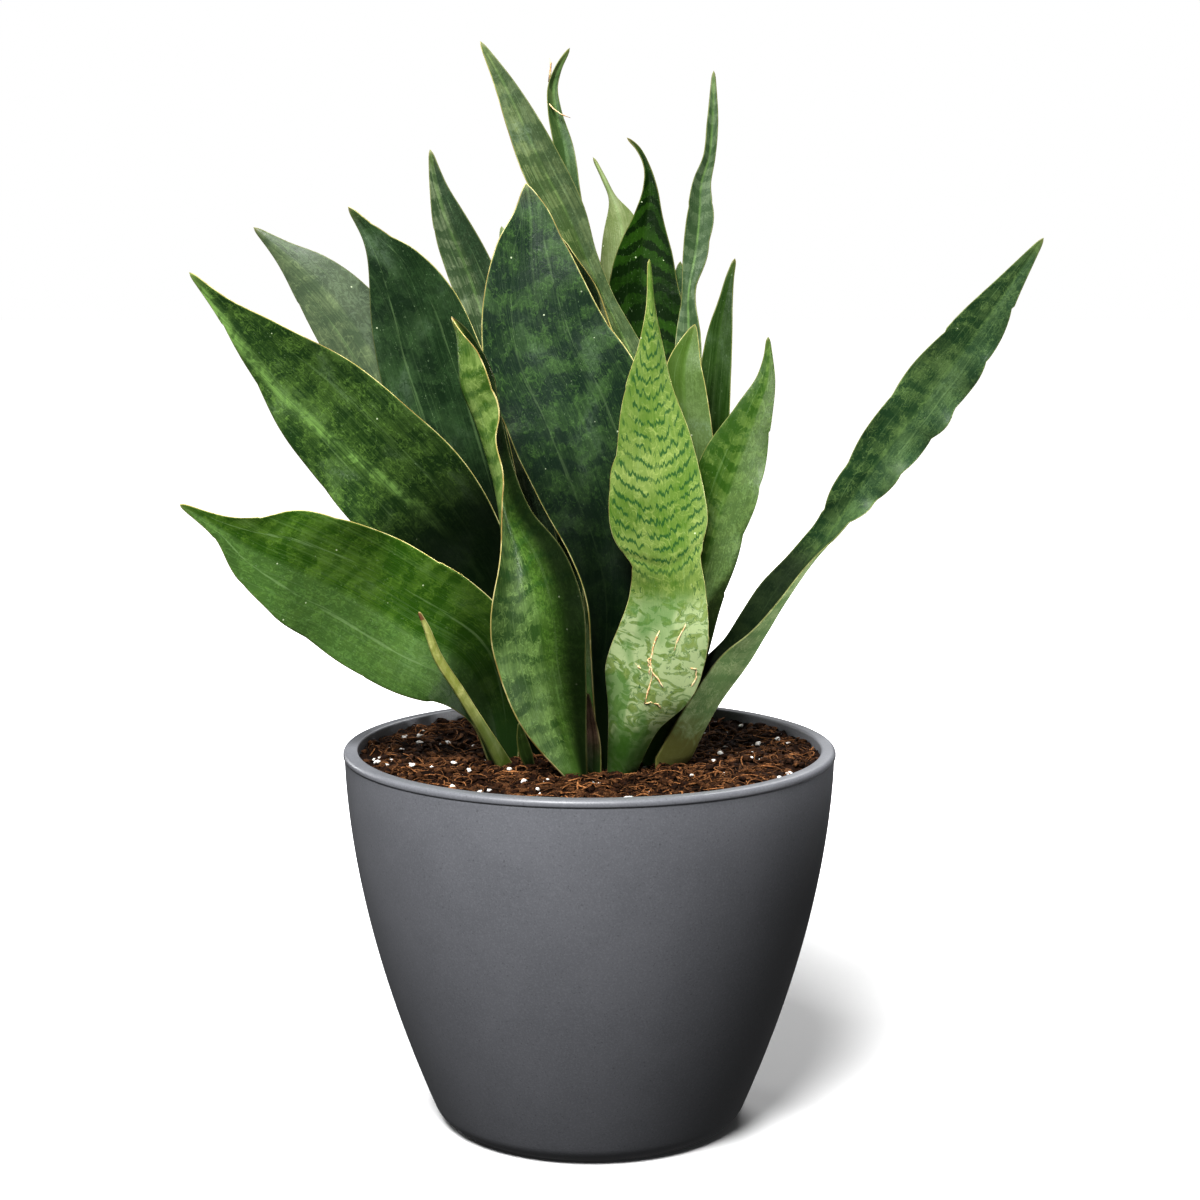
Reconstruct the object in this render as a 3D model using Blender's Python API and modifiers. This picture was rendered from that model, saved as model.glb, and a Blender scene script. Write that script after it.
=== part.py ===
"""A snake plant in a round tapered planter.

Every piece is a closed solid: the pot, the potting soil with a socket for each leaf foot,
nineteen leaves, a young rolled shoot, a small sprout and an old leaf's dry stub.
Metres, +Z up, the front towards -Y, and the origin at the centre of the pot's flat underside.
"""
import math

import bmesh
import bpy
import numpy as np
from mathutils import Vector

MM = 0.001

# ---------------------------------------------------------------- driving sizes, in metres
POT_HEIGHT = 0.210
RIM_RADIUS = 0.135          # outside of the rim
FOOT_RADIUS = 0.083         # where the side curve would meet the floor, before rounding
POT_WALL = 0.008
POT_FLOOR = 0.007
SIDE_BULGE = 1.77           # 1 is a straight taper, more is a fuller belly
RIM_BAND = 0.0042           # height of the slightly thicker band round the rim
RIM_STEP = 0.0007           # how far that band stands proud of the side
RIM_OUTER_ROUND = 0.0024
RIM_INNER_ROUND = 0.0012
FOOT_ROUND = 0.016
GROOVE_RADIUS = 0.056       # moulded ring groove under the pot
GROOVE_WIDTH = 0.008
GROOVE_DEPTH = 0.0012

HEADROOM = 0.0055           # from the rim's top down to the soil at the wall
SOIL_DISH = 0.0045          # how much lower the soil lies round the plant, in the middle
PLANT_HEIGHT = 0.391        # tallest leaf tip above the soil line
PLANT_SPREAD = 0.446        # from the leftmost tip to the rightmost one
FOOT_DEPTH = 0.014          # how deep each leaf foot stands in the soil
BASE_THICKNESS = 0.0042
BLADE_THICKNESS = 0.0026
TIP_THICKNESS = 0.0012
STOUT_SHARE = 0.3           # share of a leaf's length over which its stout base thins out
MARGIN_SHARE = 0.34         # thickness at the leaf's margin, as a share of that at its rib
CUP_POWER = 1.5             # 1 folds a blade like a V, 2 cups it like a trough
FIT_GAP = 0.0003            # clearance between pieces that touch

# ---------------------------------------------------------------- mesh fineness
ROUND_STEPS = 64
WALL_STEPS = 6              # up the inside of the pot's wall
SIDE_STEPS = 7              # down its outside
SOIL_STEPS = 5              # across the soil's top
CORNER_STEPS = 3            # round the inside corner of the floor
FOOT_STEPS = 5              # round the outside corner under the pot
RIM_INNER_STEPS = 2         # round the rim's inner edge
RIM_OUTER_STEPS = 3         # round its outer edge
CORNER_CLEAR = 0.012        # how far a wall's first and last points keep from its corners
RIM_CLEAR = 0.014           # the same, under the rim band outside
SOIL_CLEAR = 0.008          # the same, under the soil's edge
SLOPE_SHARE = 0.62          # height in a rounded corner at which the side's slope is read
AXIS_MERGE = 0.00005        # points on the axis this close together become one
LEAF_RINGS = 14
SOCKET_RINGS = 3            # rings of a leaf, from its foot, that its socket follows
RING_CROWDING = 0.06        # how much closer the rings stand near a leaf's foot and tip
HALF_BLADE = (0.0, 0.5, 1.0)            # points across each half of a leaf, rib to margin

# ---------------------------------------------------------------- the leaves
# Each row is one place along the rib, from the soil line to the tip:
#   x, y, z of the rib in millimetres (z above the soil line), the blade's full width,
#   turn: degrees the upper face turns about the rib, 0 facing the front, + to the right,
#   fold: degrees each half of the blade is lifted from flat, towards the upper face.
DRAWN_HEIGHT = 391 * MM                 # the height and spread that the rows are drawn at
DRAWN_SPREAD = 446 * MM

LEAVES = {
    "leaf_far_right": [
        (52, -6, 0, 48, -70, 68), (69, -8, 34, 44, -72, 64), (87, -12, 61, 38, -86, 52),
        (95, -14, 75, 35, -74, 46), (105, -16, 93, 32, -66, 40), (117, -18, 112, 24, -62, 38),
        (132, -21, 134, 21, -44, 32), (145, -25, 157, 26, -12, 16), (173, -30, 197, 33, 0, 8),
        (201, -34, 236, 27, 0, 8), (220, -37, 264, 13, -5, 10), (235, -40, 286, 2, -5, 10)],
    "leaf_right_mid": [
        (35, -14, 0, 15, 176, 30), (47, -16, 44, 26, 178, 26), (58, -20, 98, 32, 180, 20),
        (67, -22, 134, 37, 184, 16), (77, -22, 165, 37, 190, 15), (88, -20, 194, 22, 190, 14),
        (94, -17, 212, 11, 190, 14), (95, -15, 222, 6, 190, 12), (95, -13, 234, 2, 190, 12)],
    "leaf_front_banded": [
        (17, -34, 0, 18, 180, 34), (23, -38, 26, 31, 180, 28), (31, -43, 50, 51, 180, 18),
        (39, -46, 76, 50, 180, 12), (41, -48, 102, 40, 180, 10), (40, -50, 118, 38, 180, 10),
        (37, -50, 136, 52, 180, 12), (35, -50, 152, 52, 180, 12), (34, -48, 178, 41, 180, 12),
        (31, -46, 205, 28, 180, 14), (32, -44, 232, 13, 185, 18), (32, -42, 249, 6, 195, 20),
        (31, -38, 275, 2, 200, 15)],
    "leaf_right_smooth": [
        (27, 6, 0, 11, 10, 28), (45, -1, 91, 26, 10, 22), (51, -3, 146, 30, 10, 20),
        (52, -2, 177, 30, 8, 18), (51, 1, 200, 26, 5, 18), (51, 4, 217, 20, 0, 16),
        (54, 7, 230, 11, 0, 14), (57, 8, 240, 2, 0, 12)],
    "leaf_right_rear": [
        (41, 14, 0, 11, -10, 28), (56, 15, 89, 22, -10, 24), (65, 18, 155, 24, -10, 22),
        (67, 22, 185, 22, -10, 20), (69, 26, 209, 19, -8, 20), (72, 30, 236, 14, -6, 18),
        (75, 33, 253, 8, -4, 16), (77, 35, 264, 5, 0, 12), (80, 37, 275, 2, 0, 12)],
    "leaf_back_tall_right": [
        (27, 18, 0, 12, 5, 30), (45, 22, 87, 23, 5, 24), (52, 28, 159, 24, 5, 20),
        (54, 36, 208, 17, 0, 16), (55, 41, 232, 14, -8, 18), (55, 45, 256, 9, -20, 20),
        (59, 50, 279, 14, -5, 16), (61, 53, 299, 15, 5, 14), (62, 56, 316, 11, 10, 16),
        (66, 58, 330, 8, 18, 20), (68, 61, 348, 7, 10, 18), (69, 66, 378, 2, 0, 14)],
    "leaf_back_curled_tip": [
        (14, 23, 0, 11, 0, 28), (29, 31, 86, 30, 0, 20), (35, 38, 153, 43, 0, 16),
        (35, 44, 197, 47, 0, 14), (33, 52, 231, 46, 0, 12), (30, 58, 258, 40, 0, 12),
        (31, 63, 279, 31, 0, 14), (33, 67, 298, 17, 0, 16), (34, 70, 313, 9, 0, 18),
        (32, 73, 326, 4, 10, 18), (27, 76, 336, 3, 20, 15), (21, 78, 342, 2, 20, 12)],
    "leaf_back_pale": [
        (11, 40, 0, 10, 180, 26), (16, 49, 83, 22, 180, 20), (20, 62, 173, 33, 180, 16),
        (21, 76, 234, 35, 180, 14), (20, 86, 272, 29, 180, 14), (17, 92, 298, 17, 180, 16),
        (13, 95, 309, 5, 175, 18), (8, 98, 320, 3, 170, 16), (2, 102, 332, 2, 170, 14)],
    "leaf_tall_left": [
        (8, -5, 0, 12, 15, 32), (22, -4, 91, 20, 15, 28), (30, 1, 172, 21, 15, 26),
        (27, 5, 212, 18, 25, 28), (16, 8, 236, 16, 45, 30), (7, 10, 254, 13, 55, 32),
        (-2, 12, 274, 14, 35, 22), (-12, 15, 298, 21, 8, 12), (-25, 18, 323, 23, 0, 10),
        (-36, 22, 347, 18, 0, 10), (-46, 26, 368, 11, 0, 10), (-59, 30, 391, 2, 0, 10)],
    "leaf_back_torn_tip": [
        (3, 16, 0, 10, -10, 28), (5, 24, 87, 17, -10, 22), (3, 34, 170, 23, -10, 18),
        (-2, 44, 236, 22, -5, 16), (-8, 52, 279, 18, 0, 16), (-12, 58, 312, 14, 5, 18),
        (-15, 62, 336, 12, 15, 20), (-20, 66, 357, 9, 25, 22), (-21, 69, 369, 7, 30, 22),
        (-18, 71, 379, 5, 30, 20), (-11, 74, 391, 2, 20, 14)],
    "leaf_centre_broad": [
        (11, -22, 0, 17, 0, 34), (15, -25, 63, 32, 0, 24), (18, -26, 95, 42, 0, 18),
        (16, -26, 127, 58, 0, 12), (6, -24, 162, 73, 0, 9), (-7, -20, 197, 78, 0, 8),
        (-22, -15, 227, 71, 0, 8), (-29, -10, 258, 55, 0, 9), (-31, -5, 280, 39, 0, 10),
        (-31, -1, 297, 22, 0, 12), (-34, 4, 315, 2, 0, 12)],
    "leaf_left_rear_narrow": [
        (-13, 34, 0, 10, 0, 28), (-23, 42, 84, 22, 0, 22), (-39, 48, 159, 27, 0, 18),
        (-50, 54, 217, 30, 0, 14), (-60, 58, 250, 29, 0, 12), (-68, 60, 272, 26, 0, 12),
        (-78, 62, 295, 20, 0, 12), (-84, 64, 313, 11, 0, 14), (-89, 66, 335, 2, 0, 12)],
    "leaf_left_dark": [
        (-21, 22, 0, 11, 0, 28), (-37, 25, 68, 24, 0, 20), (-54, 27, 118, 42, 0, 14),
        (-71, 28, 169, 57, 0, 10), (-87, 29, 218, 58, 0, 8), (-98, 30, 252, 47, 0, 8),
        (-108, 31, 272, 30, 0, 10), (-118, 32, 286, 13, 0, 12), (-132, 34, 303, 2, 0, 12)],
    "leaf_left_grey": [
        (-28, 38, 0, 10, 175, 26), (-47, 42, 66, 23, 176, 20), (-76, 46, 139, 36, 178, 16),
        (-111, 50, 202, 43, 180, 12), (-136, 54, 242, 42, 180, 10), (-156, 57, 265, 29, 180, 10),
        (-172, 60, 279, 13, 180, 12), (-188, 63, 292, 2, 180, 12)],
    "leaf_left_wide": [
        (-30, 13, 0, 12, -5, 28), (-45, 12, 54, 32, -5, 20), (-62, 7, 97, 52, -3, 14),
        (-88, 3, 138, 67, 0, 10), (-118, -2, 172, 65, 0, 8), (-148, -6, 204, 52, 0, 8),
        (-174, -9, 230, 29, 0, 8), (-195, -11, 250, 11, 0, 10), (-212, -13, 268, 2, 0, 12)],
    "leaf_left_low": [
        (-49, 6, 0, 20, 20, 34), (-54, 2, 31, 36, 18, 24), (-66, -6, 58, 62, 12, 14),
        (-96, -18, 80, 75, 6, 10), (-129, -29, 102, 71, 0, 8), (-155, -38, 116, 60, 0, 6),
        (-174, -44, 125, 42, 0, 6), (-190, -49, 135, 17, 0, 8), (-213, -55, 149, 2, 0, 12)],
    "young_shoot": [
        (-48, -16, 0, 14, 150, 50), (-60, -25, 25, 10, 150, 55), (-72, -33, 47, 9, 150, 55),
        (-83, -40, 68, 8, 150, 50), (-87, -43, 82, 5, 150, 40), (-90, -45, 91, 2, 150, 30)],
    "small_sprout": [
        (-32, -14, 0, 6, 10, 32), (-35, -16, 9, 8, 10, 24), (-37, -18, 18, 6, 10, 20),
        (-38, -20, 26, 2, 10, 14)],
    "old_leaf_stub": [
        (2, -30, 0, 11, 0, 34), (2, -31, 18, 9, 0, 30), (0, -32, 33, 6, 0, 24),
        (-1, -33, 45, 2, 0, 20)],
    "leaf_front_twisted": [
        (-6, -36, 0, 13, 0, 36), (-19, -43, 34, 39, 6, 30), (-26, -50, 64, 51, 8, 26),
        (-29, -54, 89, 56, 10, 26), (-34, -56, 114, 49, 20, 30), (-44, -58, 141, 30, 45, 40),
        (-50, -60, 165, 24, 68, 48), (-58, -60, 191, 30, 84, 55), (-66, -60, 212, 40, 88, 56),
        (-67, -60, 227, 29, 80, 50), (-68, -58, 237, 15, 70, 40), (-71, -56, 246, 2, 70, 30)],
    "leaf_rear_left": [
        (-6, 46, 0, 9, -5, 28), (-13, 59, 82, 22, -5, 20), (-26, 77, 166, 27, -5, 16),
        (-37, 92, 228, 27, -5, 14), (-45, 102, 263, 16, -5, 14), (-51, 111, 293, 2, -5, 12)],
    "leaf_rear_right": [
        (24, 40, 0, 9, 5, 28), (38, 53, 83, 20, 5, 20), (46, 67, 167, 25, 5, 16),
        (48, 79, 223, 22, 5, 14), (50, 86, 252, 13, 5, 14), (52, 91, 273, 2, 5, 12)],
}

# base colour (linear), roughness
LEAF_DARK = ((0.020, 0.075, 0.025), 0.42)
LEAF_MID = ((0.040, 0.125, 0.035), 0.42)
LEAF_PALE = ((0.150, 0.300, 0.090), 0.45)
LEAF_GREY = ((0.070, 0.150, 0.080), 0.50)
LEAF_DRY = ((0.160, 0.080, 0.040), 0.70)
POT_FINISH = ((0.060, 0.066, 0.075), 0.55)
SOIL_FINISH = ((0.045, 0.022, 0.012), 0.95)

PALE_LEAVES = ("leaf_front_banded", "leaf_right_smooth", "leaf_back_pale", "young_shoot")
MID_LEAVES = ("leaf_right_mid", "leaf_left_low", "leaf_front_twisted", "leaf_rear_right",
              "small_sprout")
GREY_LEAVES = ("leaf_left_grey", "leaf_tall_left", "leaf_back_tall_right", "leaf_rear_left")
DRY_LEAVES = ("old_leaf_stub",)


# ---------------------------------------------------------------- scene helpers
def clear_scene():
    for obj in list(bpy.data.objects):
        bpy.data.objects.remove(obj, do_unlink=True)


def new_collection(name):
    collection = bpy.data.collections.new(name)
    bpy.context.scene.collection.children.link(collection)
    return collection


def make_material(name, finish):
    colour, roughness = finish
    material = bpy.data.materials.new(name)
    material.use_nodes = True
    shader = material.node_tree.nodes["Principled BSDF"]
    shader.inputs["Base Color"].default_value = (*colour, 1.0)
    shader.inputs["Roughness"].default_value = roughness
    shader.inputs["Metallic"].default_value = 0.0
    return material


def place(name, mesh, collection, finish=None):
    obj = bpy.data.objects.new(name, mesh)
    collection.objects.link(obj)
    if finish:
        mesh.materials.append(make_material(name, finish))
    return obj


# ---------------------------------------------------------------- turned pieces
def side_radius(height):
    """Outside radius of the pot's bulging side, under the rim band."""
    share = 1.0 - height / POT_HEIGHT
    return FOOT_RADIUS + (RIM_RADIUS - RIM_STEP - FOOT_RADIUS) * (1.0 - share ** SIDE_BULGE)


def inner_radius(height):
    """Inside radius of the pot: the wall keeps its thickness all the way up."""
    return side_radius(height) + RIM_STEP - POT_WALL


def arc(centre_x, centre_z, radius, start, stop, steps):
    """Points on an arc in the profile plane, both ends included; angles in degrees."""
    angles = [math.radians(start + (stop - start) * i / steps) for i in range(steps + 1)]
    return [(centre_x + radius * math.cos(a), centre_z + radius * math.sin(a)) for a in angles]


def evenly(low, high, steps):
    """Evenly spaced numbers from one to another, both included."""
    return [low + (high - low) * i / steps for i in range(steps + 1)]


def foot_corner(radius_at, floor, rounding, steps):
    """Rounded corner between a flat floor and the side curve, from the side to the floor."""
    touch = floor + SLOPE_SHARE * rounding
    rise = radius_at(touch + MM) - radius_at(touch)
    slope = math.degrees(math.atan2(rise, MM))
    centre_z = floor + rounding
    contact = centre_z - rounding * math.sin(math.radians(slope))
    centre_x = radius_at(contact) - rounding * math.cos(math.radians(slope))
    return arc(centre_x, centre_z, rounding, -slope, -90.0, steps)


def turned(name, profile, collection, finish):
    """A profile at +X, down the outer side, spun about Z with a Screw modifier."""
    mesh = bpy.data.meshes.new(name)
    edges = [(i, i + 1) for i in range(len(profile) - 1)]
    mesh.from_pydata([(x, 0.0, z) for x, z in profile], edges, [])
    obj = place(name, mesh, collection, finish)
    screw = obj.modifiers.new("spin", "SCREW")
    screw.axis = "Z"
    screw.steps = ROUND_STEPS
    screw.render_steps = ROUND_STEPS
    screw.use_merge_vertices = True
    screw.merge_threshold = AXIS_MERGE
    screw.use_smooth_shade = True
    return obj


def floor_corner():
    """Rounded corner inside the pot, from the wall to the floor."""
    return foot_corner(inner_radius, POT_FLOOR, FOOT_ROUND - POT_WALL / 2, CORNER_STEPS)


def wall_heights():
    """Heights of the points up the inside of the wall, shared by the pot and the soil."""
    return evenly(floor_corner()[0][1] + CORNER_CLEAR, POT_HEIGHT - CORNER_CLEAR, WALL_STEPS)


def pot_profile():
    inside = [(0.0, POT_FLOOR)] + floor_corner()[::-1]
    for height in wall_heights():
        inside.append((inner_radius(height), height))
    lip_in = RIM_RADIUS - POT_WALL
    inside += arc(lip_in + RIM_INNER_ROUND, POT_HEIGHT - RIM_INNER_ROUND,
                  RIM_INNER_ROUND, 180, 90, RIM_INNER_STEPS)
    lip_out = arc(RIM_RADIUS - RIM_OUTER_ROUND, POT_HEIGHT - RIM_OUTER_ROUND,
                  RIM_OUTER_ROUND, 90, 0, RIM_OUTER_STEPS)
    step_z = POT_HEIGHT - RIM_BAND
    outside = lip_out + [(RIM_RADIUS, step_z), (side_radius(step_z), step_z - RIM_STEP)]
    corner = foot_corner(side_radius, 0.0, FOOT_ROUND, FOOT_STEPS)
    low = corner[0][1] + CORNER_CLEAR
    for height in evenly(step_z - RIM_CLEAR, low, SIDE_STEPS):
        outside.append((side_radius(height), height))
    groove_out = GROOVE_RADIUS + GROOVE_WIDTH / 2
    groove_in = GROOVE_RADIUS - GROOVE_WIDTH / 2
    underside = [(groove_out, 0.0), (groove_out - GROOVE_DEPTH, GROOVE_DEPTH),
                 (groove_in + GROOVE_DEPTH, GROOVE_DEPTH), (groove_in, 0.0), (0.0, 0.0)]
    return inside + outside + corner + underside


def soil_edge_height():
    return POT_HEIGHT - HEADROOM


def soil_height(radius):
    """Height of the gently dished soil surface at a distance from the pot's axis."""
    share = radius / inner_radius(soil_edge_height())
    return soil_edge_height() - SOIL_DISH * (1.0 - share * share)


def soil_profile():
    edge = soil_edge_height()
    rim = inner_radius(edge) - FIT_GAP
    top = [(x, soil_height(x)) for x in evenly(0.0, rim, SOIL_STEPS)]
    side = [(inner_radius(h) - FIT_GAP, h)
            for h in wall_heights()[::-1] if h < edge - SOIL_CLEAR]
    bottom = [(x - FIT_GAP, z + FIT_GAP) for x, z in floor_corner()]
    return top + side + bottom + [(0.0, POT_FLOOR + FIT_GAP)]


# ---------------------------------------------------------------- leaves
def smooth_rows(rows, places):
    """Rows read off a smooth curve through the given rows, at places from 0 to 1 along it."""
    rows = np.array(rows, dtype=float)
    steps = np.linalg.norm(np.diff(rows[:, :3], axis=0), axis=1)
    along = np.concatenate([[0.0], np.cumsum(steps)]) / steps.sum()
    slopes = np.gradient(rows, along, axis=0)
    result = []
    for place_along in places:
        i = int(min(max(np.searchsorted(along, place_along) - 1, 0), len(rows) - 2))
        width = along[i + 1] - along[i]
        t = (place_along - along[i]) / width
        result.append((2 * t**3 - 3 * t**2 + 1) * rows[i] + (3 * t**2 - 2 * t**3) * rows[i + 1]
                      + width * ((t**3 - 2 * t**2 + t) * slopes[i]
                                 + (t**3 - t**2) * slopes[i + 1]))
    return np.array(result)


def rib_frame(tangent, turn):
    """Directions across the blade and out of its upper face, at a place along the rib."""
    front = Vector((0.0, -1.0, 0.0))
    facing = (front - tangent * front.dot(tangent)).normalized()
    right = tangent.cross(facing)
    angle = math.radians(turn)
    face = facing * math.cos(angle) + right * math.sin(angle)
    across = right * math.cos(angle) - facing * math.sin(angle)
    return across, face


def rib_thickness(share):
    """Thickness at the rib: stout at the foot, thin at the tip."""
    if share < STOUT_SHARE:
        return BASE_THICKNESS + (BLADE_THICKNESS - BASE_THICKNESS) * share / STOUT_SHARE
    thinning = (share - STOUT_SHARE) / (1.0 - STOUT_SHARE)
    return BLADE_THICKNESS + (TIP_THICKNESS - BLADE_THICKNESS) * thinning


def section(width, fold, thickness, grow):
    """Outline across a leaf as (across, out of face) pairs, once round its two skins."""
    half = width / 2.0
    lift = math.radians(fold)
    spread = [-u for u in HALF_BLADE[:0:-1]] + list(HALF_BLADE)
    upper, lower = [], []
    for u in spread:
        rise = abs(u) ** CUP_POWER * half * math.sin(lift)
        middle = Vector((u * half * math.cos(lift), rise))
        lean = math.copysign(lift * min(1.0, CUP_POWER * abs(u)), u)
        normal = Vector((-math.sin(lean), math.cos(lean)))
        side = Vector((math.cos(lean), math.sin(lean))) * math.copysign(grow, u) * (abs(u) == 1)
        thick = thickness * (MARGIN_SHARE + (1.0 - MARGIN_SHARE) * (1.0 - u * u)) / 2.0 + grow
        upper.append(middle + side + normal * thick)
        lower.append(middle + side - normal * thick)
    return upper + lower[::-1]


def leaf_rings(rows, places, grow=0.0):
    """Rings of points along a leaf; its foot goes straight on down into the soil."""
    drawn = smooth_rows(rows, places)
    tangents = np.gradient(drawn[:, :3], axis=0)
    soil_line = soil_height(0.0)
    stretch = (PLANT_SPREAD / DRAWN_SPREAD, PLANT_SPREAD / DRAWN_SPREAD,
               PLANT_HEIGHT / DRAWN_HEIGHT)
    rings = []
    for share, row, direction in zip(places, drawn, tangents):
        across, face = rib_frame(Vector(direction).normalized(), row[4])
        outline = section(row[3] * MM, row[5], rib_thickness(share), grow)
        middle = Vector(row[:3]) * MM
        ring = [middle + across * a + face * b for a, b in outline]
        rings.append([Vector((p.x * stretch[0], p.y * stretch[1],
                              p.z * stretch[2] + soil_line)) for p in ring])
    lowest = [p - Vector((0.0, 0.0, FOOT_DEPTH + grow)) for p in rings[0]]
    return [lowest] + rings


def ring_places():
    """Shares along the rib, closer together near the foot and the tip."""
    places = np.linspace(0.0, 1.0, LEAF_RINGS)
    return places - RING_CROWDING * np.sin(2.0 * math.pi * places)


def loft(name, rings):
    """A closed mesh through rings of equal point count, with flat ends."""
    count = len(rings[0])
    points = [p for ring in rings for p in ring]
    faces = []
    for level in range(len(rings) - 1):
        for i in range(count):
            j = (i + 1) % count
            low, high = level * count, (level + 1) * count
            faces.append((low + i, low + j, high + j, high + i))
    faces.append(tuple(range(count)))
    top = (len(rings) - 1) * count
    faces.append(tuple(range(top + count - 1, top - 1, -1)))
    mesh = bpy.data.meshes.new(name)
    mesh.from_pydata(points, [], faces)
    work = bmesh.new()
    work.from_mesh(mesh)
    bmesh.ops.recalc_face_normals(work, faces=work.faces)
    bmesh.ops.triangulate(work, faces=work.faces)
    work.to_mesh(mesh)
    work.free()
    mesh.shade_smooth()
    return mesh


def leaf_finish(name):
    if name in PALE_LEAVES:
        return LEAF_PALE
    if name in MID_LEAVES:
        return LEAF_MID
    if name in GREY_LEAVES:
        return LEAF_GREY
    if name in DRY_LEAVES:
        return LEAF_DRY
    return LEAF_DARK


def build_leaf(name, rows, collection):
    place(name, loft(name, leaf_rings(rows, ring_places())), collection, leaf_finish(name))


def cut_socket(soil, name, rows, cutters):
    """A socket in the soil round a leaf's foot, with the fitting gap on every side."""
    rings = leaf_rings(rows, ring_places()[:SOCKET_RINGS], FIT_GAP)
    cutter = place("socket_" + name, loft("socket_" + name, rings), cutters)
    cutter.hide_render = True
    cutter.display_type = "WIRE"
    cut = soil.modifiers.new("socket_" + name, "BOOLEAN")
    cut.operation = "DIFFERENCE"
    cut.solver = "EXACT"
    cut.object = cutter


def main():
    clear_scene()
    parts = new_collection("potted_snake_plant")
    cutters = new_collection("cutters")
    turned("pot", pot_profile(), parts, POT_FINISH)
    soil = turned("potting_soil", soil_profile(), parts, SOIL_FINISH)
    for name, rows in LEAVES.items():
        build_leaf(name, rows, parts)
        cut_socket(soil, name, rows, cutters)


main()
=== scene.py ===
"""A snake plant in a round tapered planter: the fine surfaces, finishes, light and camera.

Metres, +Z up, the front towards -Y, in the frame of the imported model.
"""

import math
import random
from types import SimpleNamespace

import bmesh
import bpy
import numpy as np
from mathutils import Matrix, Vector, noise


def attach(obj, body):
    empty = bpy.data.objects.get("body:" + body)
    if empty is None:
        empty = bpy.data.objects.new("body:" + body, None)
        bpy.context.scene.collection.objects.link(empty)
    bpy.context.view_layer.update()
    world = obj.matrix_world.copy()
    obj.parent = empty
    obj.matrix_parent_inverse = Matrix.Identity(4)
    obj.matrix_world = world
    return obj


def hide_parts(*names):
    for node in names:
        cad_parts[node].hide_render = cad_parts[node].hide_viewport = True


MM = 0.001
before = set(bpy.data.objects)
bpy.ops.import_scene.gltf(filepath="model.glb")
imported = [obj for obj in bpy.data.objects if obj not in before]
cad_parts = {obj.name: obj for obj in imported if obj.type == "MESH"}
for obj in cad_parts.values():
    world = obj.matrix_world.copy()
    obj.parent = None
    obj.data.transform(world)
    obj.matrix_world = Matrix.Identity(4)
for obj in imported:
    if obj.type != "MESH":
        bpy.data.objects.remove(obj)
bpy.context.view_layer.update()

# ---------------------------------------------------------------- sizes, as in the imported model
POT_HEIGHT = 0.210
RIM_RADIUS = 0.135
FOOT_RADIUS = 0.083
POT_WALL = 0.008
POT_FLOOR = 0.007
SIDE_BULGE = 1.77
RIM_BAND = 0.0042
RIM_STEP = 0.0007
RIM_OUTER_ROUND = 0.0024
RIM_INNER_ROUND = 0.0012
FOOT_ROUND = 0.016
GROOVE_RADIUS = 0.056
GROOVE_WIDTH = 0.008
GROOVE_DEPTH = 0.0012
HEADROOM = 0.0055
SOIL_DISH = 0.0045
SOIL_LINE = POT_HEIGHT - HEADROOM - SOIL_DISH
FOOT_DEPTH = 0.014
BASE_THICKNESS = 0.0042
BLADE_THICKNESS = 0.0026
TIP_THICKNESS = 0.0012
STOUT_SHARE = 0.3
MARGIN_SHARE = 0.34
CUP_POWER = 1.5
FIT_GAP = 0.0003

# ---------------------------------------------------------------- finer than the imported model
BAND_ROUND = 0.0012             # under edge of the rim band
BAND_FADE = 0.0016              # height over which the band runs out into the side
SIDE_STEP = 0.004               # plain stretch of wall left beside a rounded corner
SLOPE_SHARE = 0.62              # height in a rounded corner at which the side's slope is read
SOIL_SIDE = (0.012, 0.024)      # how far the soil's side points keep from its corner and the rim
GROOVE_LIP = 0.0006
TIP_ROUND = 0.014               # share of a leaf's length over which its tip is rounded off
EDGE_ROUND = 0.45               # mm, the rounded margin
CHANNEL_DEPTH = 0.32            # mm, the channel along the midrib
CHANNEL_WIDTH = 1.4
WIDTH_UNEVEN = 0.025            # how much a leaf's width wanders, as a share
SCALLOP_NIP = 0.55              # how deep the margin is nipped in beside a bulge, as a share of it
RIPPLE_EDGE = 2.4               # more keeps the waves nearer the margin
SWAY = 0.5                      # mm that the whole blade wanders out of its plane
# The soil's unevenness: how many to a metre, and how high in mm.
LUMPS, CLODS, CRUMBS, GAPS = (62, 2.6), (190, 2.4), (520, 1.2), (90, 6.5)
LOOSE_REACH = 0.985             # share of the soil's radius that loose pieces keep within
FIBRE_REACH = 0.97              # the same, for where a fibre starts

# ---------------------------------------------------------------- fineness
ROUND_STEPS = 224
WALL_STEPS = 30                 # up the inside of the pot's wall
SIDE_STEPS = 44                 # down its outside
FLOOR_CORNER_STEPS = 8
FOOT_CORNER_STEPS = 12
LIP_STEPS, RIM_STEPS, BAND_STEPS = 5, 7, 4
SOIL_SIDE_STEPS = 5
SOIL_CORNER_STEPS = 3
LEAF_STATIONS = 150
BLADE_STEPS = 22                # points across one face of a leaf
SOIL_RINGS = 150
SOIL_SPOKES = 560
FIBRE_STEPS = 7

# ---------------------------------------------------------------- camera and studio
LENS = 72.24                    # mm, on a 36 mm wide sensor
SENSOR_WIDTH = 36.0
LENS_SHIFT = 0.00875
EYE = (0.0, -1.3, 0.483)
LOOK_DOWN = 8.42                # degrees
FLOOR_REACH = 14.0
# the floor's glow, painted light, rises between these two distances
FLOOR_GLOW = (0.30, 0.75)        # the floor turns plain white between these distances from the pot
VIEW_GAMMA = 0.84
WORLD_LIGHT = 0.11
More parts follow.
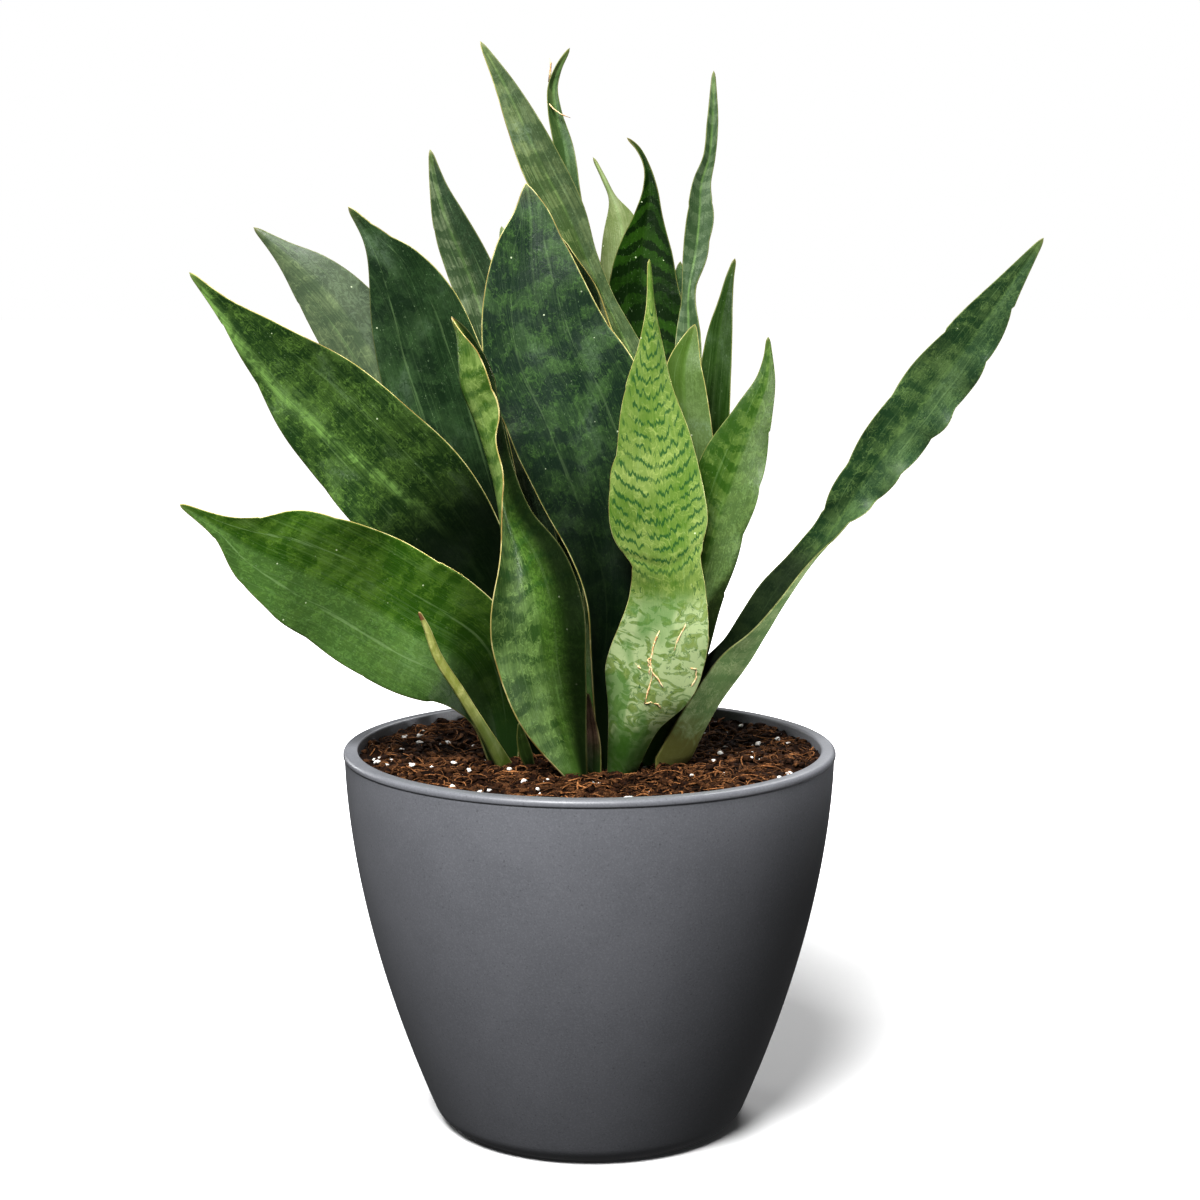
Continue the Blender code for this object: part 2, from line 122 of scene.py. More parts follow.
# name, place, aim, width, watts, spread in degrees
LAMPS = (
    ("key", (-0.50, -1.42, 2.15), (0.0, 0.0, 0.28), 1.2, 160.0, 180.0),
    ("left", (-1.7, 1.5, 0.7), (0.0, 0.0, 0.20), 0.7, 12.0, 180.0),
    ("back", (0.5, 1.6, 1.9), (0.0, 0.0, 0.35), 1.0, 32.0, 180.0),
    ("right", (1.5, -0.5, 0.34), (0.12, -0.02, 0.33), 0.15, 0.20, 11.0),
)

# ---------------------------------------------------------------- where each leaf runs
# Each row is one place along a leaf's rib, from the soil line to the tip: x, y, z in mm above
# the soil line, full width in mm, turn and fold in degrees.  The same rows as in the model.
LEAVES = {
    "leaf_far_right": [
        (52, -6, 0, 48, -70, 68), (69, -8, 34, 44, -72, 64), (87, -12, 61, 38, -86, 52),
        (95, -14, 75, 35, -74, 46), (105, -16, 93, 32, -66, 40), (117, -18, 112, 24, -62, 38),
        (132, -21, 134, 21, -44, 32), (145, -25, 157, 26, -12, 16), (173, -30, 197, 33, 0, 8),
        (201, -34, 236, 27, 0, 8), (220, -37, 264, 13, -5, 10), (235, -40, 286, 2, -5, 10)],
    "leaf_right_mid": [
        (35, -14, 0, 15, 176, 30), (47, -16, 44, 26, 178, 26), (58, -20, 98, 32, 180, 20),
        (67, -22, 134, 37, 184, 16), (77, -22, 165, 37, 190, 15), (88, -20, 194, 22, 190, 14),
        (94, -17, 212, 11, 190, 14), (95, -15, 222, 6, 190, 12), (95, -13, 234, 2, 190, 12)],
    "leaf_front_banded": [
        (17, -34, 0, 18, 180, 34), (23, -38, 26, 31, 180, 28), (31, -43, 50, 51, 180, 18),
        (39, -46, 76, 50, 180, 12), (41, -48, 102, 40, 180, 10), (40, -50, 118, 38, 180, 10),
        (37, -50, 136, 52, 180, 12), (35, -50, 152, 52, 180, 12), (34, -48, 178, 41, 180, 12),
        (31, -46, 205, 28, 180, 14), (32, -44, 232, 13, 185, 18), (32, -42, 249, 6, 195, 20),
        (31, -38, 275, 2, 200, 15)],
    "leaf_right_smooth": [
        (27, 6, 0, 11, 10, 28), (45, -1, 91, 26, 10, 22), (51, -3, 146, 30, 10, 20),
        (52, -2, 177, 30, 8, 18), (51, 1, 200, 26, 5, 18), (51, 4, 217, 20, 0, 16),
        (54, 7, 230, 11, 0, 14), (57, 8, 240, 2, 0, 12)],
    "leaf_right_rear": [
        (41, 14, 0, 11, -10, 28), (56, 15, 89, 22, -10, 24), (65, 18, 155, 24, -10, 22),
        (67, 22, 185, 22, -10, 20), (69, 26, 209, 19, -8, 20), (72, 30, 236, 14, -6, 18),
        (75, 33, 253, 8, -4, 16), (77, 35, 264, 5, 0, 12), (80, 37, 275, 2, 0, 12)],
    "leaf_back_tall_right": [
        (27, 18, 0, 12, 5, 30), (45, 22, 87, 23, 5, 24), (52, 28, 159, 24, 5, 20),
        (54, 36, 208, 17, 0, 16), (55, 41, 232, 14, -8, 18), (55, 45, 256, 9, -20, 20),
        (59, 50, 279, 14, -5, 16), (61, 53, 299, 15, 5, 14), (62, 56, 316, 11, 10, 16),
        (66, 58, 330, 8, 18, 20), (68, 61, 348, 7, 10, 18), (69, 66, 378, 2, 0, 14)],
    "leaf_back_curled_tip": [
        (14, 23, 0, 11, 0, 28), (29, 31, 86, 30, 0, 20), (35, 38, 153, 43, 0, 16),
        (35, 44, 197, 47, 0, 14), (33, 52, 231, 46, 0, 12), (30, 58, 258, 40, 0, 12),
        (31, 63, 279, 31, 0, 14), (33, 67, 298, 17, 0, 16), (34, 70, 313, 9, 0, 18),
        (32, 73, 326, 4, 10, 18), (27, 76, 336, 3, 20, 15), (21, 78, 342, 2, 20, 12)],
    "leaf_back_pale": [
        (11, 40, 0, 10, 180, 26), (16, 49, 83, 22, 180, 20), (20, 62, 173, 33, 180, 16),
        (21, 76, 234, 35, 180, 14), (20, 86, 272, 29, 180, 14), (17, 92, 298, 17, 180, 16),
        (13, 95, 309, 5, 175, 18), (8, 98, 320, 3, 170, 16), (2, 102, 332, 2, 170, 14)],
    "leaf_tall_left": [
        (8, -5, 0, 12, 15, 32), (22, -4, 91, 20, 15, 28), (30, 1, 172, 21, 15, 26),
        (27, 5, 212, 18, 25, 28), (16, 8, 236, 16, 45, 30), (7, 10, 254, 13, 55, 32),
        (-2, 12, 274, 14, 35, 22), (-12, 15, 298, 21, 8, 12), (-25, 18, 323, 23, 0, 10),
        (-36, 22, 347, 18, 0, 10), (-46, 26, 368, 11, 0, 10), (-59, 30, 391, 2, 0, 10)],
    "leaf_back_torn_tip": [
        (3, 16, 0, 10, -10, 28), (5, 24, 87, 17, -10, 22), (3, 34, 170, 23, -10, 18),
        (-2, 44, 236, 22, -5, 16), (-8, 52, 279, 18, 0, 16), (-12, 58, 312, 14, 5, 18),
        (-15, 62, 336, 12, 15, 20), (-20, 66, 357, 9, 25, 22), (-21, 69, 369, 7, 30, 22),
        (-18, 71, 379, 5, 30, 20), (-11, 74, 391, 2, 20, 14)],
    "leaf_centre_broad": [
        (11, -22, 0, 17, 0, 34), (15, -25, 63, 32, 0, 24), (18, -26, 95, 42, 0, 18),
        (16, -26, 127, 58, 0, 12), (6, -24, 162, 73, 0, 9), (-7, -20, 197, 78, 0, 8),
        (-22, -15, 227, 71, 0, 8), (-29, -10, 258, 55, 0, 9), (-31, -5, 280, 39, 0, 10),
        (-31, -1, 297, 22, 0, 12), (-34, 4, 315, 2, 0, 12)],
    "leaf_left_rear_narrow": [
        (-13, 34, 0, 10, 0, 28), (-23, 42, 84, 22, 0, 22), (-39, 48, 159, 27, 0, 18),
        (-50, 54, 217, 30, 0, 14), (-60, 58, 250, 29, 0, 12), (-68, 60, 272, 26, 0, 12),
        (-78, 62, 295, 20, 0, 12), (-84, 64, 313, 11, 0, 14), (-89, 66, 335, 2, 0, 12)],
    "leaf_left_dark": [
        (-21, 22, 0, 11, 0, 28), (-37, 25, 68, 24, 0, 20), (-54, 27, 118, 42, 0, 14),
        (-71, 28, 169, 57, 0, 10), (-87, 29, 218, 58, 0, 8), (-98, 30, 252, 47, 0, 8),
        (-108, 31, 272, 30, 0, 10), (-118, 32, 286, 13, 0, 12), (-132, 34, 303, 2, 0, 12)],
    "leaf_left_grey": [
        (-28, 38, 0, 10, 175, 26), (-47, 42, 66, 23, 176, 20), (-76, 46, 139, 36, 178, 16),
        (-111, 50, 202, 43, 180, 12), (-136, 54, 242, 42, 180, 10), (-156, 57, 265, 29, 180, 10),
        (-172, 60, 279, 13, 180, 12), (-188, 63, 292, 2, 180, 12)],
    "leaf_left_wide": [
        (-30, 13, 0, 12, -5, 28), (-45, 12, 54, 32, -5, 20), (-62, 7, 97, 52, -3, 14),
        (-88, 3, 138, 67, 0, 10), (-118, -2, 172, 65, 0, 8), (-148, -6, 204, 52, 0, 8),
        (-174, -9, 230, 29, 0, 8), (-195, -11, 250, 11, 0, 10), (-212, -13, 268, 2, 0, 12)],
    "leaf_left_low": [
        (-49, 6, 0, 20, 20, 34), (-54, 2, 31, 36, 18, 24), (-66, -6, 58, 62, 12, 14),
        (-96, -18, 80, 75, 6, 10), (-129, -29, 102, 71, 0, 8), (-155, -38, 116, 60, 0, 6),
        (-174, -44, 125, 42, 0, 6), (-190, -49, 135, 17, 0, 8), (-213, -55, 149, 2, 0, 12)],
    "young_shoot": [
        (-48, -16, 0, 14, 150, 50), (-60, -25, 25, 10, 150, 55), (-72, -33, 47, 9, 150, 55),
        (-83, -40, 68, 8, 150, 50), (-87, -43, 82, 5, 150, 40), (-90, -45, 91, 2, 150, 30)],
    "small_sprout": [
        (-32, -14, 0, 6, 10, 32), (-35, -16, 9, 8, 10, 24), (-37, -18, 18, 6, 10, 20),
        (-38, -20, 26, 2, 10, 14)],
    "old_leaf_stub": [
        (2, -30, 0, 11, 0, 34), (2, -31, 18, 9, 0, 30), (0, -32, 33, 6, 0, 24),
        (-1, -33, 45, 2, 0, 20)],
    "leaf_front_twisted": [
        (-6, -36, 0, 13, 0, 36), (-19, -43, 34, 39, 6, 30), (-26, -50, 64, 51, 8, 26),
        (-29, -54, 89, 56, 10, 26), (-34, -56, 114, 49, 20, 30), (-44, -58, 141, 30, 45, 40),
        (-50, -60, 165, 24, 68, 48), (-58, -60, 191, 30, 84, 55), (-66, -60, 212, 40, 88, 56),
        (-67, -60, 227, 29, 80, 50), (-68, -58, 237, 15, 70, 40), (-71, -56, 246, 2, 70, 30)],
    "leaf_rear_left": [
        (-6, 46, 0, 9, -5, 28), (-13, 59, 82, 22, -5, 20), (-26, 77, 166, 27, -5, 16),
        (-37, 92, 228, 27, -5, 14), (-45, 102, 263, 16, -5, 14), (-51, 111, 293, 2, -5, 12)],
    "leaf_rear_right": [
        (24, 40, 0, 9, 5, 28), (38, 53, 83, 20, 5, 20), (46, 67, 167, 25, 5, 16),
        (48, 79, 223, 22, 5, 14), (50, 86, 252, 13, 5, 14), (52, 91, 273, 2, 5, 12)],
}

# ---------------------------------------------------------------- how each leaf is shaped and marked
# waves: (side, from share, to share, height in mm, number of waves) out of the blade's plane.
# scallops: (side, shares at which the margin is nipped in, bulge between them in mm).
# rib: span at which the midrib runs, at the foot and at the tip, where it isn't the middle.
# crease: share at which it lies in the middle, how far it drops to the margins, depth in mm.
SHAPES = {
    "leaf_far_right": dict(
        waves=[(1, 0.42, 0.90, 3.2, 4.5), (-1, 0.42, 0.86, 2.2, 3.0)],
        scallops=[(1, (0.43, 0.479, 0.525, 0.588, 0.658, 0.713, 0.80, 0.887), 1.9),
                  (-1, (0.47, 0.55, 0.675, 0.80), 1.5)], rib=(-0.2, 0.1)),
    "leaf_right_mid": dict(
        waves=[(-1, 0.35, 0.9, 1.6, 2.5), (1, 0.3, 0.8, 1.0, 2.0)],
        scallops=[(-1, (0.42, 0.56, 0.68, 0.80), 1.4)]),
    "leaf_front_banded": dict(
        waves=[(-1, 0.02, 0.30, 2.0, 1.5), (1, 0.30, 0.75, 1.0, 2.0)],
        scallops=[(-1, (0.30, 0.442, 0.455), 0.8), (1, (0.43, 0.58, 0.64, 0.76), 1.0)],
        crease=(0.436, 0.03, 1.9)),
    "leaf_right_smooth": dict(waves=[(1, 0.4, 0.9, 0.7, 1.5)], rib=(0.15, 0.0)),
    "leaf_right_rear": dict(waves=[(1, 0.4, 0.9, 0.8, 2.0)]),
    "leaf_back_tall_right": dict(
        waves=[(1, 0.45, 0.9, 1.4, 2.0), (-1, 0.45, 0.9, 1.2, 2.0)],
        scallops=[(1, (0.55, 0.69, 0.755, 0.81), 1.0), (-1, (0.55, 0.66, 0.80), 0.8)]),
    "leaf_back_curled_tip": dict(waves=[(1, 0.4, 0.8, 1.0, 1.5)], rib=(0.0, -0.1)),
    "leaf_back_pale": dict(waves=[(-1, 0.6, 0.95, 1.5, 1.5)]),
    "leaf_tall_left": dict(
        waves=[(-1, 0.40, 0.78, 1.6, 2.5), (1, 0.5, 0.9, 0.8, 2.0)],
        scallops=[(-1, (0.40, 0.52, 0.64, 0.71, 0.78), 1.2)], rib=(0.1, 0.0)),
    "leaf_back_torn_tip": dict(waves=[(1, 0.6, 0.95, 1.0, 2.0)], rib=(0.0, 0.3)),
    "leaf_centre_broad": dict(
        waves=[(-1, 0.35, 0.85, 1.0, 1.5), (1, 0.4, 0.85, 0.9, 1.5)]),
    "leaf_left_rear_narrow": dict(
        waves=[(-1, 0.5, 0.95, 1.2, 2.0)],
        scallops=[(-1, (0.60, 0.72, 0.78, 0.88), 0.9)], rib=(0.0, -0.2)),
    "leaf_left_dark": dict(
        waves=[(-1, 0.4, 0.9, 0.8, 2.0)], scallops=[(1, (0.80, 0.917, 0.955), 0.7)],
        rib=(0.0, -0.25)),
    "leaf_left_grey": dict(
        waves=[(1, 0.5, 0.95, 1.0, 2.0), (-1, 0.5, 0.95, 0.8, 1.5)],
        scallops=[(1, (0.55, 0.70, 0.86), 0.8)], rib=(0.0, 0.1)),
    "leaf_left_wide": dict(
        waves=[(-1, 0.30, 0.95, 1.6, 3.5), (1, 0.5, 0.95, 0.9, 2.0)],
        scallops=[(-1, (0.42, 0.60, 0.80, 0.905), 1.0)], rib=(0.75, -0.95)),
    "leaf_left_low": dict(
        waves=[(1, 0.3, 0.95, 1.6, 3.0), (-1, 0.3, 0.95, 1.2, 2.5)],
        scallops=[(1, (0.45, 0.69, 0.84), 1.3), (-1, (0.45, 0.62, 0.80, 0.90), 0.8)],
        rib=(-0.40, -0.30)),
    "old_leaf_stub": dict(waves=[(1, 0.4, 1.0, 0.8, 2.0)]),
    "leaf_front_twisted": dict(
        waves=[(-1, 0.1, 0.5, 1.2, 1.5), (-1, 0.62, 0.95, 1.8, 2.5), (1, 0.2, 0.55, 1.0, 1.5)],
        scallops=[(-1, (0.66, 0.75, 0.83, 0.92), 0.9)], rib=(0.35, 0.0)),
    "leaf_rear_left": dict(waves=[(1, 0.4, 0.9, 1.0, 2.0)]),
    "leaf_rear_right": dict(waves=[(-1, 0.4, 0.9, 1.0, 2.0)]),
}

# What a leaf has that its own row in LOOKS doesn't change.  Colours are linear, in thousandths,
# amounts run from 0 to 1, sizes are in mm.
# dark, light: the upper side; under_dark, under: the lower side; second: painted light and shade
# on one half of the blade, lighter than the rest on some leaves and darker on others, the half
# where span is above 0 if halves is above 0, or else the other one.
# mottle, grain: small marks and their size; patches: large ones; streaks: along the blade.
# bands, spacing, sag, ragged: cross bands, how far apart, how bowed, how wavy and toothed.
# lines: dark lines in the bands; marble: pale islands low on the blade; veins: lengthwise lines.
# rib_light, rib_width: the midrib's pale line, on leaf_left_wide a broad painted highlight;
# bloom_and_sheen: waxy film, partly a painted sheen; foot, foot_share: colour at the soil, a green
# base on most leaves and near black on some, where it is painted shade.
# tip, tip_share: the dry tip; margin: the width of the cream edge; cream: its strength where span
# is below 0 and where it is above 0; the faint side on leaf_front_twisted is painted shade.
# shade: painted shade on parts deep in the plant and on parts turned away from the lamps, as
# (axis, from, to, amount); gloss: the surface's shine.
DEFAULT_LOOK = dict(
    dark=(30, 75, 25), light=(85, 160, 65), under=(150, 240, 95), under_dark=(60, 120, 45),
    mottle=0.6, grain=2.0, patches=0.5, bands=0.3, spacing=14.0, sag=4.0, lines=0.0, streaks=0.25,
    rib_light=0.3, rib_width=1.6, second=(60, 110, 60), halves=0.0, bloom_and_sheen=0.25, foot=(50, 130, 22),
    foot_share=0.16, tip_share=0.012, margin=0.5, cream=(0.25, 0.25), veins=0.22, shade=(),
    marble=0.0, ragged=(1.9, 0.42), tip=0.15, gloss=0.15)

LEAF_COLOURS = ("dark", "light", "under", "under_dark", "second", "foot")

LOOKS = {
    # Its lower side's colours are raised to stand in for light that its lower part, turned away from
    # the lamps, doesn't catch: painted light. The shade low on its upper side is painted shade.
    "leaf_far_right": dict(
        dark=(14, 40, 14), light=(78, 130, 42), mottle=1.0, grain=1.7, bands=0.25, spacing=11.0,
        sag=-5.0, second=(44, 82, 40), halves=0.3, under=(360, 430, 215), under_dark=(150, 240, 90),
        bloom_and_sheen=0.08, rib_light=0.1, foot=(110, 105, 22), foot_share=0.09, margin=0.45,
        shade=(("upper", 0.44, 0.36, 0.8),)),
    "leaf_right_mid": dict(
        under=(84, 140, 28), under_dark=(24, 66, 5), mottle=0.85, grain=2.2, bands=0.55, spacing=10.0,
        sag=7.0, second=(80, 126, 40), halves=-0.6, bloom_and_sheen=0.1, rib_light=0.15),
    "leaf_front_banded": dict(
        under=(240, 300, 92), under_dark=(70, 140, 18), mottle=0.55, grain=2.6, patches=0.35,
        bands=0.06, spacing=7.2, sag=14.0, lines=1.0, streaks=0.12, rib_light=0.0, bloom_and_sheen=0.0,
        foot=(36, 98, 10), marble=1.0, ragged=(0.9, 1.5), foot_share=0.14, veins=0.15,
        cream=(0.6, 0.6), shade=(("share", 0.16, 0.02, 0.55),)),
    "leaf_right_smooth": dict(
        dark=(54, 104, 15), light=(105, 166, 48), mottle=0.25, bands=0.1, bloom_and_sheen=0.45, rib_light=0.15,
        second=(119, 167, 70), halves=0.35, cream=(0.7, 0.7)),
    "leaf_right_rear": dict(
        dark=(10, 32, 2), light=(32, 68, 12), mottle=0.3, bands=0.1, bloom_and_sheen=0.3, rib_light=0.1),
    "leaf_back_tall_right": dict(
        dark=(40, 74, 30), light=(115, 161, 85), mottle=0.5, grain=2.6, bands=0.7, spacing=9.0,
        sag=3.0, bloom_and_sheen=0.35, rib_light=0.5, rib_width=1.3),
    "leaf_back_curled_tip": dict(
        dark=(3, 13, 1), light=(24, 72, 5), mottle=0.35, patches=0.4, bands=0.6, spacing=13.0,
        sag=-9.0, bloom_and_sheen=0.0, rib_light=0.05, streaks=0.1, veins=0.03, gloss=0.04, foot=(3, 13, 1)),
    "leaf_back_pale": dict(
        under=(234, 266, 136), under_dark=(130, 167, 62), mottle=0.3, spacing=20.0, bloom_and_sheen=0.3,
        streaks=0.4, foot=(73, 108, 37)),
    "leaf_tall_left": dict(
        dark=(38, 66, 19), light=(125, 163, 63), mottle=0.45, grain=2.4, bands=0.55, spacing=17.0,
        sag=2.0, streaks=0.7, rib_light=0.25, rib_width=1.5, second=(42, 64, 33), halves=0.45,
        bloom_and_sheen=0.3, cream=(0.7, 0.25)),
    "leaf_back_torn_tip": dict(
        dark=(38, 75, 21), light=(128, 175, 64), mottle=0.35, bands=0.5, spacing=24.0,
        second=(42, 73, 35), halves=0.5),
    "leaf_centre_broad": dict(
        dark=(9, 24, 12), light=(44, 92, 26), mottle=0.9, grain=2.1, patches=0.35, bands=0.4,
        spacing=21.0, sag=6.0, bloom_and_sheen=0.16, rib_light=0.06, foot=(41, 83, 21), foot_share=0.2,
        margin=0.6, cream=(0.8, 0.8), shade=(("share", 0.66, 0.34, 0.88),)),
    "leaf_left_rear_narrow": dict(
        dark=(31, 55, 22), light=(133, 166, 93), mottle=0.45, bands=0.5, spacing=13.0, streaks=0.5,
        second=(16, 33, 15), halves=0.8, bloom_and_sheen=0.2),
    "leaf_left_dark": dict(
        dark=(7, 20, 7), light=(28, 60, 20), mottle=0.55, grain=2.6, patches=0.6, spacing=26.0,
        bloom_and_sheen=0.18, rib_light=0.05, streaks=0.15, second=(15, 38, 12), halves=0.3, foot=(6, 17, 4),
        cream=(0.15, 0.7), shade=(("share", 0.6, 0.42, 0.85),)),
    "leaf_left_grey": dict(
        under=(154, 198, 102), under_dark=(65, 93, 53), grain=3.2, bands=0.2, spacing=18.0,
        halves=-0.75, second=(57, 77, 49), bloom_and_sheen=0.08, rib_light=0.0),
    # The broad pale streak along its rib, which runs across the blade, is a painted highlight; its
    # near-black foot and its shade are painted shade.
    "leaf_left_wide": dict(
        dark=(12, 34, 7), light=(80, 145, 30), mottle=0.85, patches=0.3, bands=0.2, spacing=24.0,
        sag=-14.0, rib_light=0.85, rib_width=4.5, foot=(3, 12, 2), foot_share=0.3, cream=(0.15, 0.9),
        shade=(("share", 0.56, 0.4, 0.96),)),
    "leaf_left_low": dict(
        dark=(26, 76, 5), light=(88, 170, 22), mottle=0.7, grain=2.2, patches=0.55, spacing=12.0,
        sag=-5.0, bloom_and_sheen=0.15, rib_light=0.35, rib_width=1.2, second=(74, 136, 40), halves=-0.55,
        veins=0.6, under=(263, 333, 106), under_dark=(137, 204, 49), cream=(0.35, 0.9),
        shade=(("share", 0.46, 0.16, 0.8),)),
    "young_shoot": dict(
        dark=(300, 330, 80), light=(620, 610, 260), under=(600, 600, 250), under_dark=(300, 330, 80),
        mottle=0.4, bands=0.2, spacing=9.0, bloom_and_sheen=0.0, foot=(26, 56, 4), foot_share=0.62,
        tip_share=0.05, rib_light=0.0, tip=1.0, cream=(0.6, 0.6)),
    "small_sprout": dict(
        dark=(12, 28, 4), light=(40, 75, 12), mottle=0.3, bands=0.0, foot=(3, 8, 1), foot_share=0.4,
        rib_light=0.1, bloom_and_sheen=0.0),
    "old_leaf_stub": dict(
        dark=(50, 28, 16), light=(150, 95, 65), mottle=0.5, bands=0.2, streaks=0.6, foot=(8, 34, 5),
        foot_share=0.55, rib_light=0.0, bloom_and_sheen=0.0, under=(140, 90, 60), under_dark=(50, 28, 16)),
    # Its right half turns away from the lamps: the darker tone on that half, its shade and the faint
    # cream on that margin are painted shade.
    "leaf_front_twisted": dict(
        dark=(30, 72, 14), light=(150, 240, 70), mottle=0.9, bands=0.32, spacing=12.0, sag=3.0,
        bloom_and_sheen=0.15, rib_light=0.45, rib_width=1.3, second=(46, 100, 12), halves=0.7,
        under=(214, 302, 89), under_dark=(59, 124, 17), lines=0.35, foot=(56, 117, 21),
        foot_share=0.1, margin=0.6, cream=(1.0, 0.1), tip=1.0, shade=(("span", 0.15, 0.75, 0.88),)),
    "leaf_rear_left": dict(bands=0.5, mottle=0.5),
    "leaf_rear_right": dict(bands=0.5, mottle=0.5),
}

SLOTS = {
    "leaf_dark": ("leaf_far_right", "leaf_right_rear", "leaf_back_curled_tip",
                  "leaf_back_torn_tip", "leaf_centre_broad", "leaf_left_rear_narrow",
                  "leaf_left_dark", "leaf_left_wide"),
    "leaf_mid": ("leaf_right_mid", "leaf_left_low", "leaf_front_twisted", "leaf_rear_right",
                 "small_sprout"),
    "leaf_pale": ("leaf_front_banded", "leaf_right_smooth", "leaf_back_pale", "young_shoot"),
    "leaf_grey": ("leaf_back_tall_right", "leaf_tall_left", "leaf_left_grey",
                  "leaf_rear_left"),
    "leaf_dry": ("old_leaf_stub",),
}

# Colours that every leaf shares.
MARBLE_ISLAND = (0.330, 0.400, 0.215)
MARBLE_OUTLINE = (0.060, 0.140, 0.040)
MARBLE_GREEN = (0.090, 0.190, 0.050)
DARK_LINE = (0.020, 0.075, 0.018)
FAINT_VEIN = (0.130, 0.210, 0.085)
PLAIN_VEIN = (0.170, 0.260, 0.110)
WAXY_BLOOM_AND_SHEEN = (0.150, 0.205, 0.150)
PALE_SPECK = (0.52, 0.58, 0.40)
PALE_FLECK = (0.25, 0.34, 0.19)
MIDRIB_AND_HIGHLIGHT = (0.170, 0.290, 0.080)
YELLOWING = (0.30, 0.30, 0.08)
DRY_TIP = (0.22, 0.105, 0.050)
DEEP_SHADE = (0.001, 0.005, 0.001)
MARGIN_HALO = (0.10, 0.17, 0.045)
CREAM_DULL = (0.40, 0.34, 0.12)
CREAM_BRIGHT = (0.56, 0.50, 0.24)
CREAM_BROWN = (0.26, 0.19, 0.060)
PLAIN_VEIN_SPANS = (-0.47, 0.40)

# Dry scratches and peeled lines on two leaves, as (share, span) along each, on the side shown.
SCARS = {
    "leaf_front_banded": [
        ((0.304, 0.12), (0.263, 0.17), (0.237, 0.13), (0.217, 0.00), (0.190, -0.02),
         (0.158, -0.05), (0.164, -0.16), (0.163, -0.35), (0.154, -0.48)),
        ((0.321, -0.45), (0.306, -0.37), (0.290, -0.30), (0.271, -0.27)),
        ((0.221, 0.02), (0.210, -0.15), (0.198, -0.30)),
        ((0.224, 0.40), (0.221, 0.33), (0.219, 0.27)),
        ((0.246, -0.70), (0.247, -0.83), (0.233, -0.89), (0.212, -0.85)),
        ((0.250, 0.14), (0.240, 0.20), (0.228, 0.10), (0.215, 0.06))],
    "leaf_far_right": [
        ((0.118, -0.85), (0.100, -0.60), (0.080, -0.30))],
}

# All in mm.
SCAR_LIFT = 0.1                 # above the skin
SCAR_WANDER = 0.25
SCAR_RADII = (0.28, 0.55)
SCAR_END = 0.12
THREAD_END = 0.1

# Dry threads torn loose, as places in mm from the middle of the soil line, each with its
# thickness in mm.
THREADS = (
    ((-23.5, 66, 361), (-20, 62, 357), (-16, 61, 354), (-10.5, 62, 352), 0.9),
    ((-22.5, 70, 372), (-21.8, 69.5, 378), (-21.5, 69, 382), (-22.2, 69, 385), 1.3),
)


